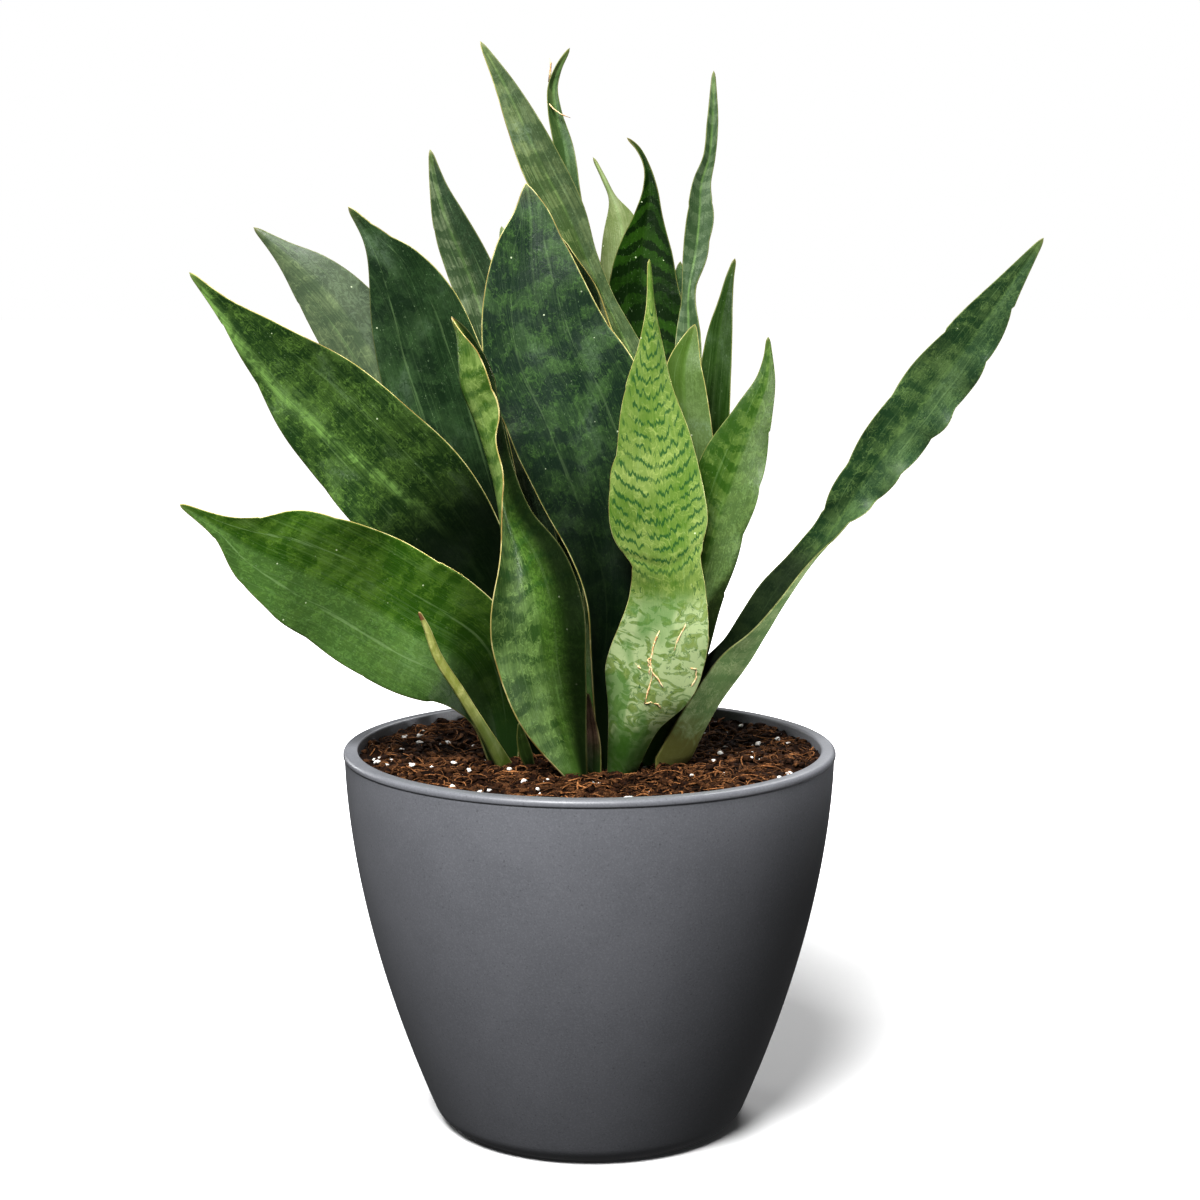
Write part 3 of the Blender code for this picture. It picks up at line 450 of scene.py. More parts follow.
# ---------------------------------------------------------------- node trees
class Tree:
    """A material whose nodes are made and joined by short calls."""

    def __init__(self, name):
        self.material = bpy.data.materials.new(name)
        self.material.use_nodes = True
        self.nodes = self.material.node_tree.nodes
        self.links = self.material.node_tree.links
        self.shader = self.nodes["Principled BSDF"]

    def put(self, value, socket):
        if isinstance(value, bpy.types.NodeSocket):
            self.links.new(value, socket)
        elif isinstance(value, tuple) and socket.type == "RGBA":
            socket.default_value = (*value, 1.0)
        else:
            socket.default_value = value

    def attribute(self, name, output="Fac"):
        node = self.nodes.new("ShaderNodeAttribute")
        node.attribute_name = name
        return node.outputs[output]

    def math(self, operation, a, b=0.0, clamp=False):
        node = self.nodes.new("ShaderNodeMath")
        node.operation = operation
        node.use_clamp = clamp
        self.put(a, node.inputs[0])
        self.put(b, node.inputs[1])
        return node.outputs[0]

    def times(self, a, b):
        return self.math("MULTIPLY", a, b)

    def plus(self, a, b):
        return self.math("ADD", a, b)

    def off(self, value, middle):
        """How far a value is from the middle, either way."""
        return self.math("ABSOLUTE", self.math("SUBTRACT", value, middle))

    def sway(self, value, amount):
        """A value around a half, turned into one around 0 and scaled."""
        return self.times(self.math("SUBTRACT", value, 0.5), amount)

    def mix(self, amount, low, high):
        node = self.nodes.new("ShaderNodeMix")
        node.data_type = "RGBA"
        self.put(amount, node.inputs[0])
        self.put(low, node.inputs[6])
        self.put(high, node.inputs[7])
        return node.outputs[2]

    def ramp(self, value, start, stop, low=0.0, high=1.0):
        """A smooth step from low to high as the value goes from start to stop."""
        node = self.nodes.new("ShaderNodeMapRange")
        node.interpolation_type = "SMOOTHSTEP"
        self.put(value, node.inputs["Value"])
        for name, number in (("From Min", start), ("From Max", stop),
                             ("To Min", low), ("To Max", high)):
            node.inputs[name].default_value = number
        return node.outputs[0]

    def scaled(self, vector, factors):
        node = self.nodes.new("ShaderNodeVectorMath")
        node.operation = "MULTIPLY"
        self.put(vector, node.inputs[0])
        node.inputs[1].default_value = factors
        return node.outputs[0]

    def noise(self, vector, scale=1.0, detail=2.0, distortion=0.0, roughness=0.5):
        node = self.nodes.new("ShaderNodeTexNoise")
        self.put(vector, node.inputs["Vector"])
        node.inputs["Scale"].default_value = scale
        node.inputs["Detail"].default_value = detail
        node.inputs["Distortion"].default_value = distortion
        node.inputs["Roughness"].default_value = roughness
        return node.outputs["Fac"]

    def marks(self, blade, wide, long, detail, distortion=0.0):
        """Noise whose marks are so many mm wide across a leaf and so many long along it."""
        return self.noise(self.scaled(blade, (1 / wide, 1 / long, 1)), 1.0, detail, distortion)

    def cells(self, vector, scale=1.0, output="Distance"):
        node = self.nodes.new("ShaderNodeTexVoronoi")
        self.put(vector, node.inputs["Vector"])
        node.inputs["Scale"].default_value = scale
        return node.outputs[output]

    def place(self):
        """The piece's own coordinates, in metres."""
        return self.nodes.new("ShaderNodeTexCoord").outputs["Object"]

    def bump(self, height, strength, distance):
        node = self.nodes.new("ShaderNodeBump")
        node.inputs["Strength"].default_value = strength
        node.inputs["Distance"].default_value = distance
        self.put(height, node.inputs["Height"])
        self.links.new(node.outputs["Normal"], self.shader.inputs["Normal"])

    def set(self, name, value):
        self.put(value, self.shader.inputs[name])


def leaf_maps(t, look):
    """What a leaf's colours are made from: where a point is on the blade, and uneven marks."""
    m = SimpleNamespace(
        blade=t.attribute("blade", "Vector"), edge=t.attribute("edge_mm"),
        share=t.attribute("share"), span=t.attribute("span"), upper=t.attribute("upper"),
        rib_gap=t.attribute("rib_mm"), along=t.attribute("along_mm"))
    grain = look["grain"]
    m.patches = t.marks(m.blade, 20, 34, 2.0, 0.4)
    m.blotch = t.marks(m.blade, 6.5, 8.5, 2.0, 0.9)
    m.worms = t.marks(m.blade, grain, 1.35 * grain, 3.0, 1.7)
    m.streak = t.marks(m.blade, 0.8, 55, 3.0)
    m.wobble = t.marks(m.blade, 17, 26, 3.0)
    m.speckle = t.ramp(t.plus(m.worms, t.times(m.blotch, 0.45)), 0.70, 0.82)

    # waves across the blade, with ragged edges: the bands and the lines follow them
    teeth = t.marks(m.blade, 1.5, 13, 3.0)
    sag = t.times(t.times(m.span, m.span), -look["sag"] / look["spacing"])
    phase = t.plus(t.math("DIVIDE", m.along, look["spacing"]), sag)
    phase = t.plus(phase, t.times(m.wobble, look["ragged"][0]))
    phase = t.plus(phase, t.times(teeth, look["ragged"][1]))
    m.wave = t.math("SINE", t.times(phase, 2 * math.pi))
    return m


def mottled(t, look, m):
    """The leaf's own two colours on each side, in bands, patches, squiggles and streaks."""
    long = 1.5 * look["grain"]
    strokes = t.marks(m.blade, long, 1.3 * long, 0.0, 0.9)
    squiggle = t.times(t.ramp(t.off(strokes, 0.5), 0.055, 0.020), t.ramp(m.blotch, 0.46, 0.52))
    light = t.times(m.speckle, 0.20 * look["mottle"])
    light = t.plus(light, t.times(squiggle, 0.60 * look["mottle"]))
    light = t.plus(light, t.ramp(m.blotch, 0.40, 0.62, 0.0, 0.15 * look["mottle"]))
    light = t.plus(light, t.ramp(m.patches, 0.38, 0.66, 0.0, look["patches"]))
    light = t.plus(light, t.times(t.ramp(m.wave, -0.15, 0.55), -look["bands"]))
    half = 0.5 * look["streaks"]
    light = t.plus(light, t.ramp(m.streak, 0.35, 0.7, -half, half))
    light = t.math("ADD", light, 0.12, clamp=True)
    top = t.mix(light, look["dark"], look["light"])
    below = t.mix(light, look["under_dark"], look["under"])
    return t.mix(m.upper, below, top)


def half_light_and_shade(t, look, m, colour):
    """One half of the blade in another tone: painted light on some leaves and painted shade on
    others.
    """
    if look["halves"] > 0:
        painted_half_mask = t.ramp(m.span, 0.02, 0.16)
    else:
        painted_half_mask = t.ramp(m.span, -0.02, -0.16)
    painted_half_colour = t.mix(m.speckle, look["second"], tuple(1.5 * c for c in look["second"]))
    return t.mix(t.times(painted_half_mask, abs(look["halves"])), colour, painted_half_colour)


def marbled(t, look, m, colour):
    """Pale islands with darker outlines on the blade's lower part."""
    swirl = t.marks(m.blade, 8, 6, 3.0, 1.3)
    lower = t.times(t.ramp(m.share, 0.39, 0.33), look["marble"])
    pale = t.times(lower, t.ramp(swirl, 0.40, 0.52, 0.10, 0.90))
    colour = t.mix(pale, colour, MARBLE_ISLAND)
    outline = t.times(t.ramp(t.off(swirl, 0.47), 0.034, 0.008), lower)
    colour = t.mix(t.times(outline, 0.5), colour, MARBLE_OUTLINE)
    green = t.times(lower, t.ramp(m.patches, 0.50, 0.40, 0.0, 0.65))
    return t.mix(green, colour, MARBLE_GREEN)


def lined(t, look, m, colour):
    """Dark jagged lines across the blade, and small loops between them."""
    broken = t.ramp(t.marks(m.blade, 5, 22, 3.0), 0.33, 0.44)
    line = t.times(t.ramp(m.wave, 0.56, 0.84), broken)
    fade = t.times(t.ramp(m.share, 0.38, 0.44), t.ramp(m.edge, 0.8, 3.0))
    loop = t.times(t.ramp(t.off(m.blotch, 0.55), 0.022, 0.006), t.ramp(m.wave, -0.2, 0.5))
    loop = t.times(loop, t.ramp(m.patches, 0.44, 0.56))
    drawn = t.math("MAXIMUM", t.times(line, fade), t.times(loop, 0.75))
    return t.mix(t.times(drawn, 0.92 * look["lines"]), colour, DARK_LINE)


def veined(t, look, m, colour):
    """Faint veins along the blade, two of them plainer than the rest."""
    vein = t.off(t.marks(m.blade, 2.4, 320, 2.0), 0.5)
    colour = t.mix(t.ramp(vein, 0.035, 0.0, 0.0, 0.35 * look["veins"]), colour, FAINT_VEIN)
    for place in PLAIN_VEIN_SPANS:
        gap = t.plus(t.off(m.span, place), t.sway(m.wobble, 0.12))
        line = t.times(t.ramp(gap, 0.022, 0.004), t.ramp(m.streak, 0.30, 0.60))
        colour = t.mix(t.times(line, look["veins"]), colour, PLAIN_VEIN)
    return colour


def weathered(t, look, m, colour):
    """Waxy bloom with painted sheen, dust and pale specks."""
    # grey-blue patches: partly the leaf's waxy film, partly a painted sheen standing in for soft
    # glints
    bloom_and_sheen = t.times(t.ramp(m.patches, 0.54, 0.74), t.ramp(m.worms, 0.30, 0.62))
    colour = t.mix(t.times(bloom_and_sheen, look["bloom_and_sheen"]), colour, WAXY_BLOOM_AND_SHEEN)
    cells = t.scaled(m.blade, (1 / 8, 1 / 8, 1))
    picked = t.ramp(t.cells(cells, 1.0, "Color"), 0.62, 0.66)
    speck = t.times(t.ramp(t.cells(cells), 0.075, 0.045), picked)
    colour = t.mix(t.times(speck, 0.75), colour, PALE_SPECK)
    fleck = t.ramp(t.marks(m.blade, 0.7, 1.6, 1.0, 0.8), 0.70, 0.76)
    return t.mix(t.times(fleck, 0.28), colour, PALE_FLECK)


def ended(t, look, m, colour):
    """Midrib, foot and tip, and painted shade on parts deep in the plant and on parts turned away
    from the lamps; the midrib's broad pale line on leaf_left_wide is a painted highlight, and a
    near-black foot is painted shade.
    """
    # the midrib's pale line; on leaf_left_wide, broad and run across the blade, it is a painted
    # highlight
    rib = t.times(t.ramp(m.rib_gap, look["rib_width"], 0.1),
                  t.ramp(m.streak, 0.25, 0.65, 0.35, 1.0))
    rib = t.times(rib, t.ramp(m.blotch, 0.36, 0.56, 0.35, 1.0))
    colour = t.mix(t.times(rib, look["rib_light"]), colour, MIDRIB_AND_HIGHLIGHT)
    # the foot's colour: a green base on most leaves; a near-black one is painted shade
    ragged = t.plus(m.share, t.sway(m.blotch, 0.10))
    foot = t.ramp(ragged, look["foot_share"], look["foot_share"] * 0.30)
    colour = t.mix(t.times(foot, 0.85), colour, look["foot"])
    tip_from = 1.0 - look["tip_share"]
    yellow = t.ramp(m.share, tip_from - 0.030, tip_from)
    colour = t.mix(t.times(yellow, 0.45 * look["tip"]), colour, YELLOWING)
    dried = t.ramp(m.share, tip_from, tip_from + 0.006, 0.0, look["tip"])
    colour = t.mix(dried, colour, DRY_TIP)
    # painted shade, darkening towards DEEP_SHADE
    for axis, start, stop, amount in look["shade"]:
        deep = t.ramp(m.span if axis == "span" else m.share, start, stop, 0.0, amount)
        if axis == "upper":
            deep = t.times(deep, m.upper)
        colour = t.mix(deep, colour, DEEP_SHADE)
    return colour


def edged(t, look, m, colour):
    """The cream margin, browned here and there, with a paler green beside it, each side at its own
    strength; the faint side on leaf_front_twisted is painted shade.
    """
    uneven = t.plus(m.edge, t.sway(m.streak, 0.35))
    # each side's strength; on leaf_front_twisted the faint side is painted shade
    strength = t.ramp(m.span, -0.05, 0.05, *look["cream"])
    width = look["margin"]
    halo = t.times(t.ramp(uneven, width + 0.5, width), strength)
    colour = t.mix(t.times(halo, 0.45), colour, MARGIN_HALO)
    cream = t.mix(t.ramp(m.blotch, 0.42, 0.60), CREAM_DULL, CREAM_BRIGHT)
    cream = t.mix(t.ramp(m.patches, 0.54, 0.62), cream, CREAM_BROWN)
    return t.mix(t.times(t.ramp(uneven, width, width - 0.25), strength), colour, cream)


def leaf_material(name):
    look = {**DEFAULT_LOOK, **LOOKS[name]}
    look.update({key: tuple(c / 1000 for c in look[key]) for key in LEAF_COLOURS})
    t = Tree("finish_" + name)
    m = leaf_maps(t, look)
    colour = mottled(t, look, m)
    if look["halves"]:
        colour = half_light_and_shade(t, look, m, colour)
    if look["marble"]:
        colour = marbled(t, look, m, colour)
    if look["lines"]:
        colour = lined(t, look, m, colour)
    for layer in (veined, weathered, ended, edged):
        colour = layer(t, look, m, colour)
    t.set("Base Color", colour)
    t.set("Roughness", t.plus(t.ramp(m.patches, 0.3, 0.7, 0.34, 0.50), t.sway(m.worms, 0.22)))
    t.set("Specular IOR Level", look["gloss"])
    ridges = t.plus(t.times(m.streak, 0.5), t.times(m.worms, 0.35))
    t.bump(t.plus(ridges, t.times(m.blotch, 0.9)), 0.35, 0.0007)
    return t.material


def pot_material():
    t = Tree("slate_plastic")
    spot = t.place()
    cloud = t.noise(spot, 26.0, 4.0, 0.4, 0.6)
    fine = t.noise(spot, 950.0, 3.0, 0.0, 0.65)
    speck = t.noise(spot, 900.0, 2.0)
    body = t.mix(t.ramp(cloud, 0.32, 0.70), (0.151, 0.155, 0.169), (0.163, 0.167, 0.182))
    body = t.mix(t.ramp(fine, 0.46, 0.66, 0.0, 0.40), body, (0.225, 0.230, 0.248))
    body = t.mix(t.ramp(speck, 0.62, 0.72, 0.0, 0.4), body, (0.060, 0.062, 0.068))
    t.set("Base Color", body)
    t.set("Roughness", t.ramp(cloud, 0.3, 0.7, 0.38, 0.48))
    t.set("Specular IOR Level", 0.5)
    t.bump(t.plus(t.times(fine, 0.7), t.times(cloud, 0.5)), 0.25, 0.0003)
    return t.material


def soil_material():
    t = Tree("potting_mix")
    spot = t.place()
    tone = t.noise(spot, 330.0, 5.0, 0.7, 0.65)
    clump = t.noise(spot, 95.0, 3.0, 0.5)
    colour = t.mix(t.ramp(clump, 0.35, 0.68), (0.004, 0.002, 0.001), (0.020, 0.008, 0.004))
    colour = t.mix(t.ramp(tone, 0.52, 0.70, 0.0, 0.85), colour, (0.070, 0.030, 0.013))
    t.set("Base Color", colour)
    t.set("Roughness", t.ramp(tone, 0.3, 0.7, 0.80, 0.96))
    t.set("Specular IOR Level", 0.08)
    t.bump(t.plus(tone, clump), 0.9, 0.0016)
    return t.material


def crumb_material():
    """Bark and coir, each piece in its own tone."""
    t = Tree("coir_and_bark")
    tone = t.attribute("tone")
    tone = t.times(tone, tone)
    grain = t.noise(t.place(), 900.0, 3.0, 0.6)
    dark = t.mix(tone, (0.006, 0.002, 0.001), (0.170, 0.066, 0.022))
    pale = t.mix(tone, (0.030, 0.011, 0.004), (0.420, 0.205, 0.085))
    t.set("Base Color", t.mix(t.ramp(grain, 0.38, 0.64), dark, pale))
    t.set("Roughness", t.ramp(grain, 0.3, 0.7, 0.70, 0.92))
    t.set("Specular IOR Level", 0.12)
    t.bump(grain, 0.6, 0.0004)
    return t.material


def perlite_material():
    t = Tree("perlite")
    spot = t.place()
    dust = t.noise(spot, 500.0, 3.0)
    colour = t.mix(t.ramp(dust, 0.48, 0.66), (0.86, 0.86, 0.84), (0.52, 0.44, 0.36))
    t.set("Base Color", colour)
    t.set("Roughness", t.ramp(dust, 0.3, 0.7, 0.72, 0.92))
    t.bump(t.cells(spot, 1600.0), 0.7, 0.0003)
    return t.material


def scar_material():
    t = Tree("dry_scar")
    grain = t.noise(t.place(), 700.0, 3.0, 0.8)
    t.set("Base Color", t.mix(t.ramp(grain, 0.40, 0.62), (0.62, 0.36, 0.17), (0.74, 0.63, 0.38)))
    t.set("Roughness", t.ramp(grain, 0.3, 0.7, 0.62, 0.80))
    t.bump(grain, 0.5, 0.0003)
    return t.material


def floor_material():
    t = Tree("pale_floor")
    spot = t.place()
    cloud = t.noise(spot, 3.0, 2.0)
    t.set("Base Color", t.mix(cloud, (0.86, 0.86, 0.86), (0.88, 0.88, 0.88)))
    t.set("Roughness", 0.85)
    t.set("Specular IOR Level", 0.1)
    # away from the pot the floor glows up to plain white: painted light
    away = t.nodes.new("ShaderNodeVectorMath")
    away.operation = "LENGTH"
    t.links.new(spot, away.inputs[0])
    t.set("Emission Color", (1.0, 1.0, 1.0))
    t.set("Emission Strength", t.ramp(away.outputs["Value"], *FLOOR_GLOW))
    return t.material


# ---------------------------------------------------------------- putting pieces in the scene
def add_piece(name, mesh, material, slot, *replaced):
    mesh.materials.append(material)
    mesh.shade_smooth()
    piece = bpy.data.objects.new(name, mesh)
    bpy.context.scene.collection.objects.link(piece)
    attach(piece, "root")
    if replaced:
        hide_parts(*replaced)


def closed_mesh(name, points, faces):
    """A mesh whose faces all point outwards."""
    mesh = bpy.data.meshes.new(name)
    mesh.from_pydata(points, [], faces)
    work = bmesh.new()
    work.from_mesh(mesh)
    bmesh.ops.recalc_face_normals(work, faces=work.faces)
    work.to_mesh(mesh)
    work.free()
    return mesh


def point_values(mesh, name, values):
    mesh.attributes.new(name, "FLOAT", "POINT").data.foreach_set(
        "value", np.asarray(values, dtype=np.float32).ravel())


# ---------------------------------------------------------------- leaves
def smooth_rows(rows, places):
    """Rows read off a smooth curve through the given rows, at places from 0 to 1 along it."""
    rows = np.array(rows, dtype=float)
    steps = np.linalg.norm(np.diff(rows[:, :3], axis=0), axis=1)
    along = np.concatenate([[0.0], np.cumsum(steps)]) / steps.sum()
    slopes = np.gradient(rows, along, axis=0)
    i = np.clip(np.searchsorted(along, places) - 1, 0, len(rows) - 2)
    width = (along[i + 1] - along[i])[:, None]
    t = ((places - along[i]) / width[:, 0])[:, None]
    return ((2 * t**3 - 3 * t**2 + 1) * rows[i] + (3 * t**2 - 2 * t**3) * rows[i + 1]
            + width * ((t**3 - 2 * t**2 + t) * slopes[i] + (t**3 - t**2) * slopes[i + 1]))


def window(share, start, stop):
    """Rises from 0 and falls back to 0 between two shares of the length."""
    t = np.clip((share - start) / (stop - start), 0.0, 1.0)
    return np.sin(math.pi * t) ** 0.7


def rib_thickness(share):
    stout = BASE_THICKNESS + (BLADE_THICKNESS - BASE_THICKNESS) * share / STOUT_SHARE
    thinning = (share - STOUT_SHARE) / (1.0 - STOUT_SHARE)
    thin = BLADE_THICKNESS + (TIP_THICKNESS - BLADE_THICKNESS) * thinning
    return np.where(share < STOUT_SHARE, stout, thin) / MM


def leaf_axes(rows):
    """Points along a leaf's rib, and there the directions across its blade and out of its face."""
    ribs = rows[:, :3]
    tangent = np.gradient(ribs, axis=0)
    tangent /= np.linalg.norm(tangent, axis=1)[:, None]
    front = np.array([0.0, -1.0, 0.0])
    facing = front - tangent * (tangent @ front)[:, None]
    facing /= np.linalg.norm(facing, axis=1)[:, None]
    right = np.cross(tangent, facing)
    angle = np.radians(rows[:, 4])[:, None]
    face = facing * np.cos(angle) + right * np.sin(angle)
    across = right * np.cos(angle) - facing * np.sin(angle)
    return ribs, across, face


def half_thickness(s, u, edge):
    """Half a blade's thickness in mm, thinner towards its rounded margins."""
    thick = rib_thickness(s) * (MARGIN_SHARE + (1.0 - MARGIN_SHARE) * (1.0 - u * u)) / 2.0
    rounding = np.clip(1.0 - edge / EDGE_ROUND, 0.0, 1.0)
    return thick * np.sqrt(np.maximum(0.0, 1.0 - rounding * rounding))


class Blade:
    """The two skins of a leaf, as grids of points in mm: stations along by spans across."""

    def __init__(self, name):
        shape = SHAPES.get(name, {})
        self.seed = 11.0 + 3.7 * list(LEAVES).index(name)
        share = np.linspace(0.0, 1.0, LEAF_STATIONS)
        share = share - 0.07 * np.sin(2.0 * math.pi * share) / 2.0
        rows = smooth_rows(LEAVES[name], share)
        ribs, across, face = leaf_axes(rows)
        span = np.sin(np.linspace(-math.pi / 2, math.pi / 2, BLADE_STEPS + 1))
        s, u = np.meshgrid(share, span, indexing="ij")
        end = np.clip((s - 1.0 + TIP_ROUND) / TIP_ROUND, 0.0, 0.999)
        tip = np.sqrt(1.0 - end * end)
        half = np.maximum(self.half_width(shape, rows[:, 3:4], s, u) * tip, 0.05)
        lift = np.radians(rows[:, 5:6])
        x = u * half * np.cos(lift)
        y = np.abs(u) ** CUP_POWER * half * np.sin(lift) + self.rise(shape, s, u)
        lean = np.sign(u) * lift * np.minimum(1.0, CUP_POWER * np.abs(u))
        rib_foot, rib_tip = shape.get("rib", (0.0, 0.0))
        rib_gap = np.abs(u - rib_foot - (rib_tip - rib_foot) * s) * half
        edge = (1.0 - np.abs(u)) * half
        thick = half_thickness(s, u, edge) * tip
        channel = np.exp(-(rib_gap / CHANNEL_WIDTH) ** 2) * np.minimum(1.0, half / 8.0)
        channel = CHANNEL_DEPTH * channel

        def skin(offset):
            px = x - np.sin(lean) * offset
            py = y + np.cos(lean) * offset
            return (ribs[:, None] + across[:, None] * px[..., None]
                    + face[:, None] * py[..., None])

        self.upper = skin(thick - channel)
        self.lower = skin(-thick - 0.5 * channel)
        self.share, self.span, self.edge, self.rib_gap = s, u, edge, rib_gap
        length = np.linalg.norm(np.diff(ribs, axis=0), axis=1)
        along = np.concatenate([[0.0], np.cumsum(length)])
        self.along = np.repeat(along[:, None], BLADE_STEPS + 1, axis=1)
        self.across = u * half

    def half_width(self, shape, widths, s, u):
        """Half the blade's width in mm, wandering a little and scalloped."""
        wander = np.array([[noise.noise(Vector((self.seed, 9.0 * p, 4.0 * side)))
                            for side in (-1, 1)] for p in s[:, 0]])
        wander = np.where(u < 0, wander[:, :1], wander[:, 1:])
        half = widths / 2.0 * (1.0 + WIDTH_UNEVEN * wander)
        for side, nips, bulge in shape.get("scallops", ()):
            for low, high in zip(nips[:-1], nips[1:]):
                t = np.clip((s - low) / (high - low), 0.0, 1.0)
                arch = np.sin(math.pi * t) ** 0.8 - SCALLOP_NIP * (t > 0) * (t < 1)
                half = half + bulge * arch * (np.sign(u) == side) * np.minimum(1.0, 3 * abs(u))
        return half

    def rise(self, shape, s, u):
        """How far the blade stands out of its cupped shape in mm, with its waves and crease."""
        sway = np.array([noise.noise(Vector((self.seed + 5.0, 5.0 * p, 0.0))) for p in s[:, 0]])
        y = SWAY * sway[:, None] * window(s, 0.15, 1.1)
        for side, start, stop, height, count in shape.get("waves", ()):
            beat = np.sin(2.0 * math.pi * count * (s - start) / (stop - start) + self.seed)
            ripple = height * beat * window(s, start, stop)
            y = y + ripple * np.abs(u) ** RIPPLE_EDGE * (u * side > 0)
        if "crease" in shape:
            at, dip, depth = shape["crease"]
            line = at + dip * (u * u)
            below = np.clip((line - s) / 0.035, 0.0, 1.0)
            y = y + depth * np.where(s < line, np.exp(-3.5 * below), 0.0) * (1 - below)
        return y

    def at(self, share, span):
        """A point in metres just above the lower skin."""
        i = np.interp(share, self.share[:, 0], np.arange(len(self.share)))
        j = np.interp(span, self.span[0], np.arange(len(self.span[0])))
        i0, j0 = int(min(i, len(self.share) - 2)), int(min(j, len(self.span[0]) - 2))
        a, b = i - i0, j - j0
        corner, ahead, beside = self.lower[i0, j0], self.lower[i0 + 1, j0], self.lower[i0, j0 + 1]
        point = ((1 - a) * (1 - b) * corner + a * (1 - b) * ahead
                 + (1 - a) * b * beside + a * b * self.lower[i0 + 1, j0 + 1])
        out = np.cross(ahead - corner, beside - corner)
        point = point + SCAR_LIFT * out / np.linalg.norm(out)
        return Vector(point) * MM + Vector((0.0, 0.0, SOIL_LINE))

    def mesh(self, name):
        """A closed mesh of both skins, joined at the margins, with a foot in the soil."""
        def ring(grid_up, grid_down):
            return np.concatenate([grid_up, grid_down[:, -2:0:-1]], axis=1)

        points = ring(self.upper, self.lower)
        foot = points[:1] - np.array([0.0, 0.0, FOOT_DEPTH / MM])
        middle = (foot + points[:1]) / 2.0
        points = np.concatenate([foot, middle, points])
        levels, count = points.shape[:2]
        place = points.reshape(-1, 3) * MM + np.array([0.0, 0.0, SOIL_LINE])
        low = (np.arange(levels - 1)[:, None] * count + np.arange(count)).ravel()
        side = (np.arange(levels - 1)[:, None] * count
                + (np.arange(count) + 1) % count).ravel()
        faces = np.stack([low, side, side + count, low + count], axis=1).tolist()
        faces.append(list(range(count)))
        faces.append(list(range(levels * count - 1, (levels - 1) * count - 1, -1)))
        mesh = closed_mesh(name, place.tolist(), faces)

        def whole(grid):
            values = ring(grid, grid)
            return np.concatenate([values[:1], values[:1], values])

        side_up = ring(np.ones_like(self.span), np.zeros_like(self.span))
        side_up[:, [0, BLADE_STEPS]] = 0.5
        side_up = np.concatenate([side_up[:1], side_up[:1], side_up])
        along = whole(self.along)
        along[0] -= FOOT_DEPTH / MM
        along[1] -= FOOT_DEPTH / MM / 2.0
        across = whole(self.across)
        for label, values in (("edge_mm", whole(self.edge)), ("share", whole(self.share)),
                              ("span", whole(self.span)), ("rib_mm", whole(self.rib_gap)),
                              ("along_mm", along), ("upper", side_up)):
            point_values(mesh, label, values)
        blade = np.stack([across, along, np.full_like(along, self.seed)], axis=-1)
        mesh.attributes.new("blade", "FLOAT_VECTOR", "POINT").data.foreach_set(
            "vector", blade.astype(np.float32).ravel())
        return mesh


def tube_parts(path, radii, sides=5, flat=1.0):
    """Points and faces of a closed tube along a path, flattened by a factor."""
    points, faces = [], []
    last = len(path) - 1
    for i, centre in enumerate(path):
        ahead = (path[min(i + 1, last)] - path[max(i - 1, 0)]).normalized()
        side = ahead.cross(Vector((0.0, 0.0, 1.0)))
        side = side.normalized() if side.length > 1e-6 else Vector((1.0, 0.0, 0.0))
        up = side.cross(ahead)
        for k in range(sides):
            angle = 2.0 * math.pi * k / sides
            points.append(centre + side * (math.cos(angle) * radii[i])
                          + up * (math.sin(angle) * radii[i] * flat))
    for i in range(last):
        for k in range(sides):
            j = (k + 1) % sides
            faces.append((i * sides + k, i * sides + j, (i + 1) * sides + j, (i + 1) * sides + k))
    faces.append(tuple(range(sides)))
    faces.append(tuple(range((last + 1) * sides - 1, last * sides - 1, -1)))
    return points, faces


class Heap:
    """Many small closed bodies gathered into one mesh, each with its own tone."""

    def __init__(self):
        self.points, self.faces, self.tones = [], [], []

    def add(self, points, faces, tone):
        start = len(self.points)
        self.points += [tuple(p) for p in points]
        self.faces += [tuple(start + i for i in face) for face in faces]
        self.tones += [tone] * len(points)

    def mesh(self, name):
        mesh = closed_mesh(name, self.points, self.faces)
        point_values(mesh, "tone", self.tones)
        return mesh


# ---------------------------------------------------------------- pot
def side_radius(height):
    share = 1.0 - height / POT_HEIGHT
    return FOOT_RADIUS + (RIM_RADIUS - RIM_STEP - FOOT_RADIUS) * (1.0 - share ** SIDE_BULGE)


def inner_radius(height):
    return side_radius(height) + RIM_STEP - POT_WALL


def arc(centre_x, centre_z, radius, start, stop, steps):
    angles = [math.radians(start + (stop - start) * i / steps) for i in range(steps + 1)]
    return [(centre_x + radius * math.cos(a), centre_z + radius * math.sin(a)) for a in angles]


def evenly(low, high, steps):
    return [low + (high - low) * i / steps for i in range(steps + 1)]


def foot_corner(radius_at, floor, rounding, steps):
    """Rounded corner between a flat floor and the side curve, from the side to the floor."""
    touch = floor + SLOPE_SHARE * rounding
    slope = math.degrees(math.atan2(radius_at(touch + MM) - radius_at(touch), MM))
    centre_z = floor + rounding
    contact = centre_z - rounding * math.sin(math.radians(slope))
    centre_x = radius_at(contact) - rounding * math.cos(math.radians(slope))
    return arc(centre_x, centre_z, rounding, -slope, -90.0, steps)


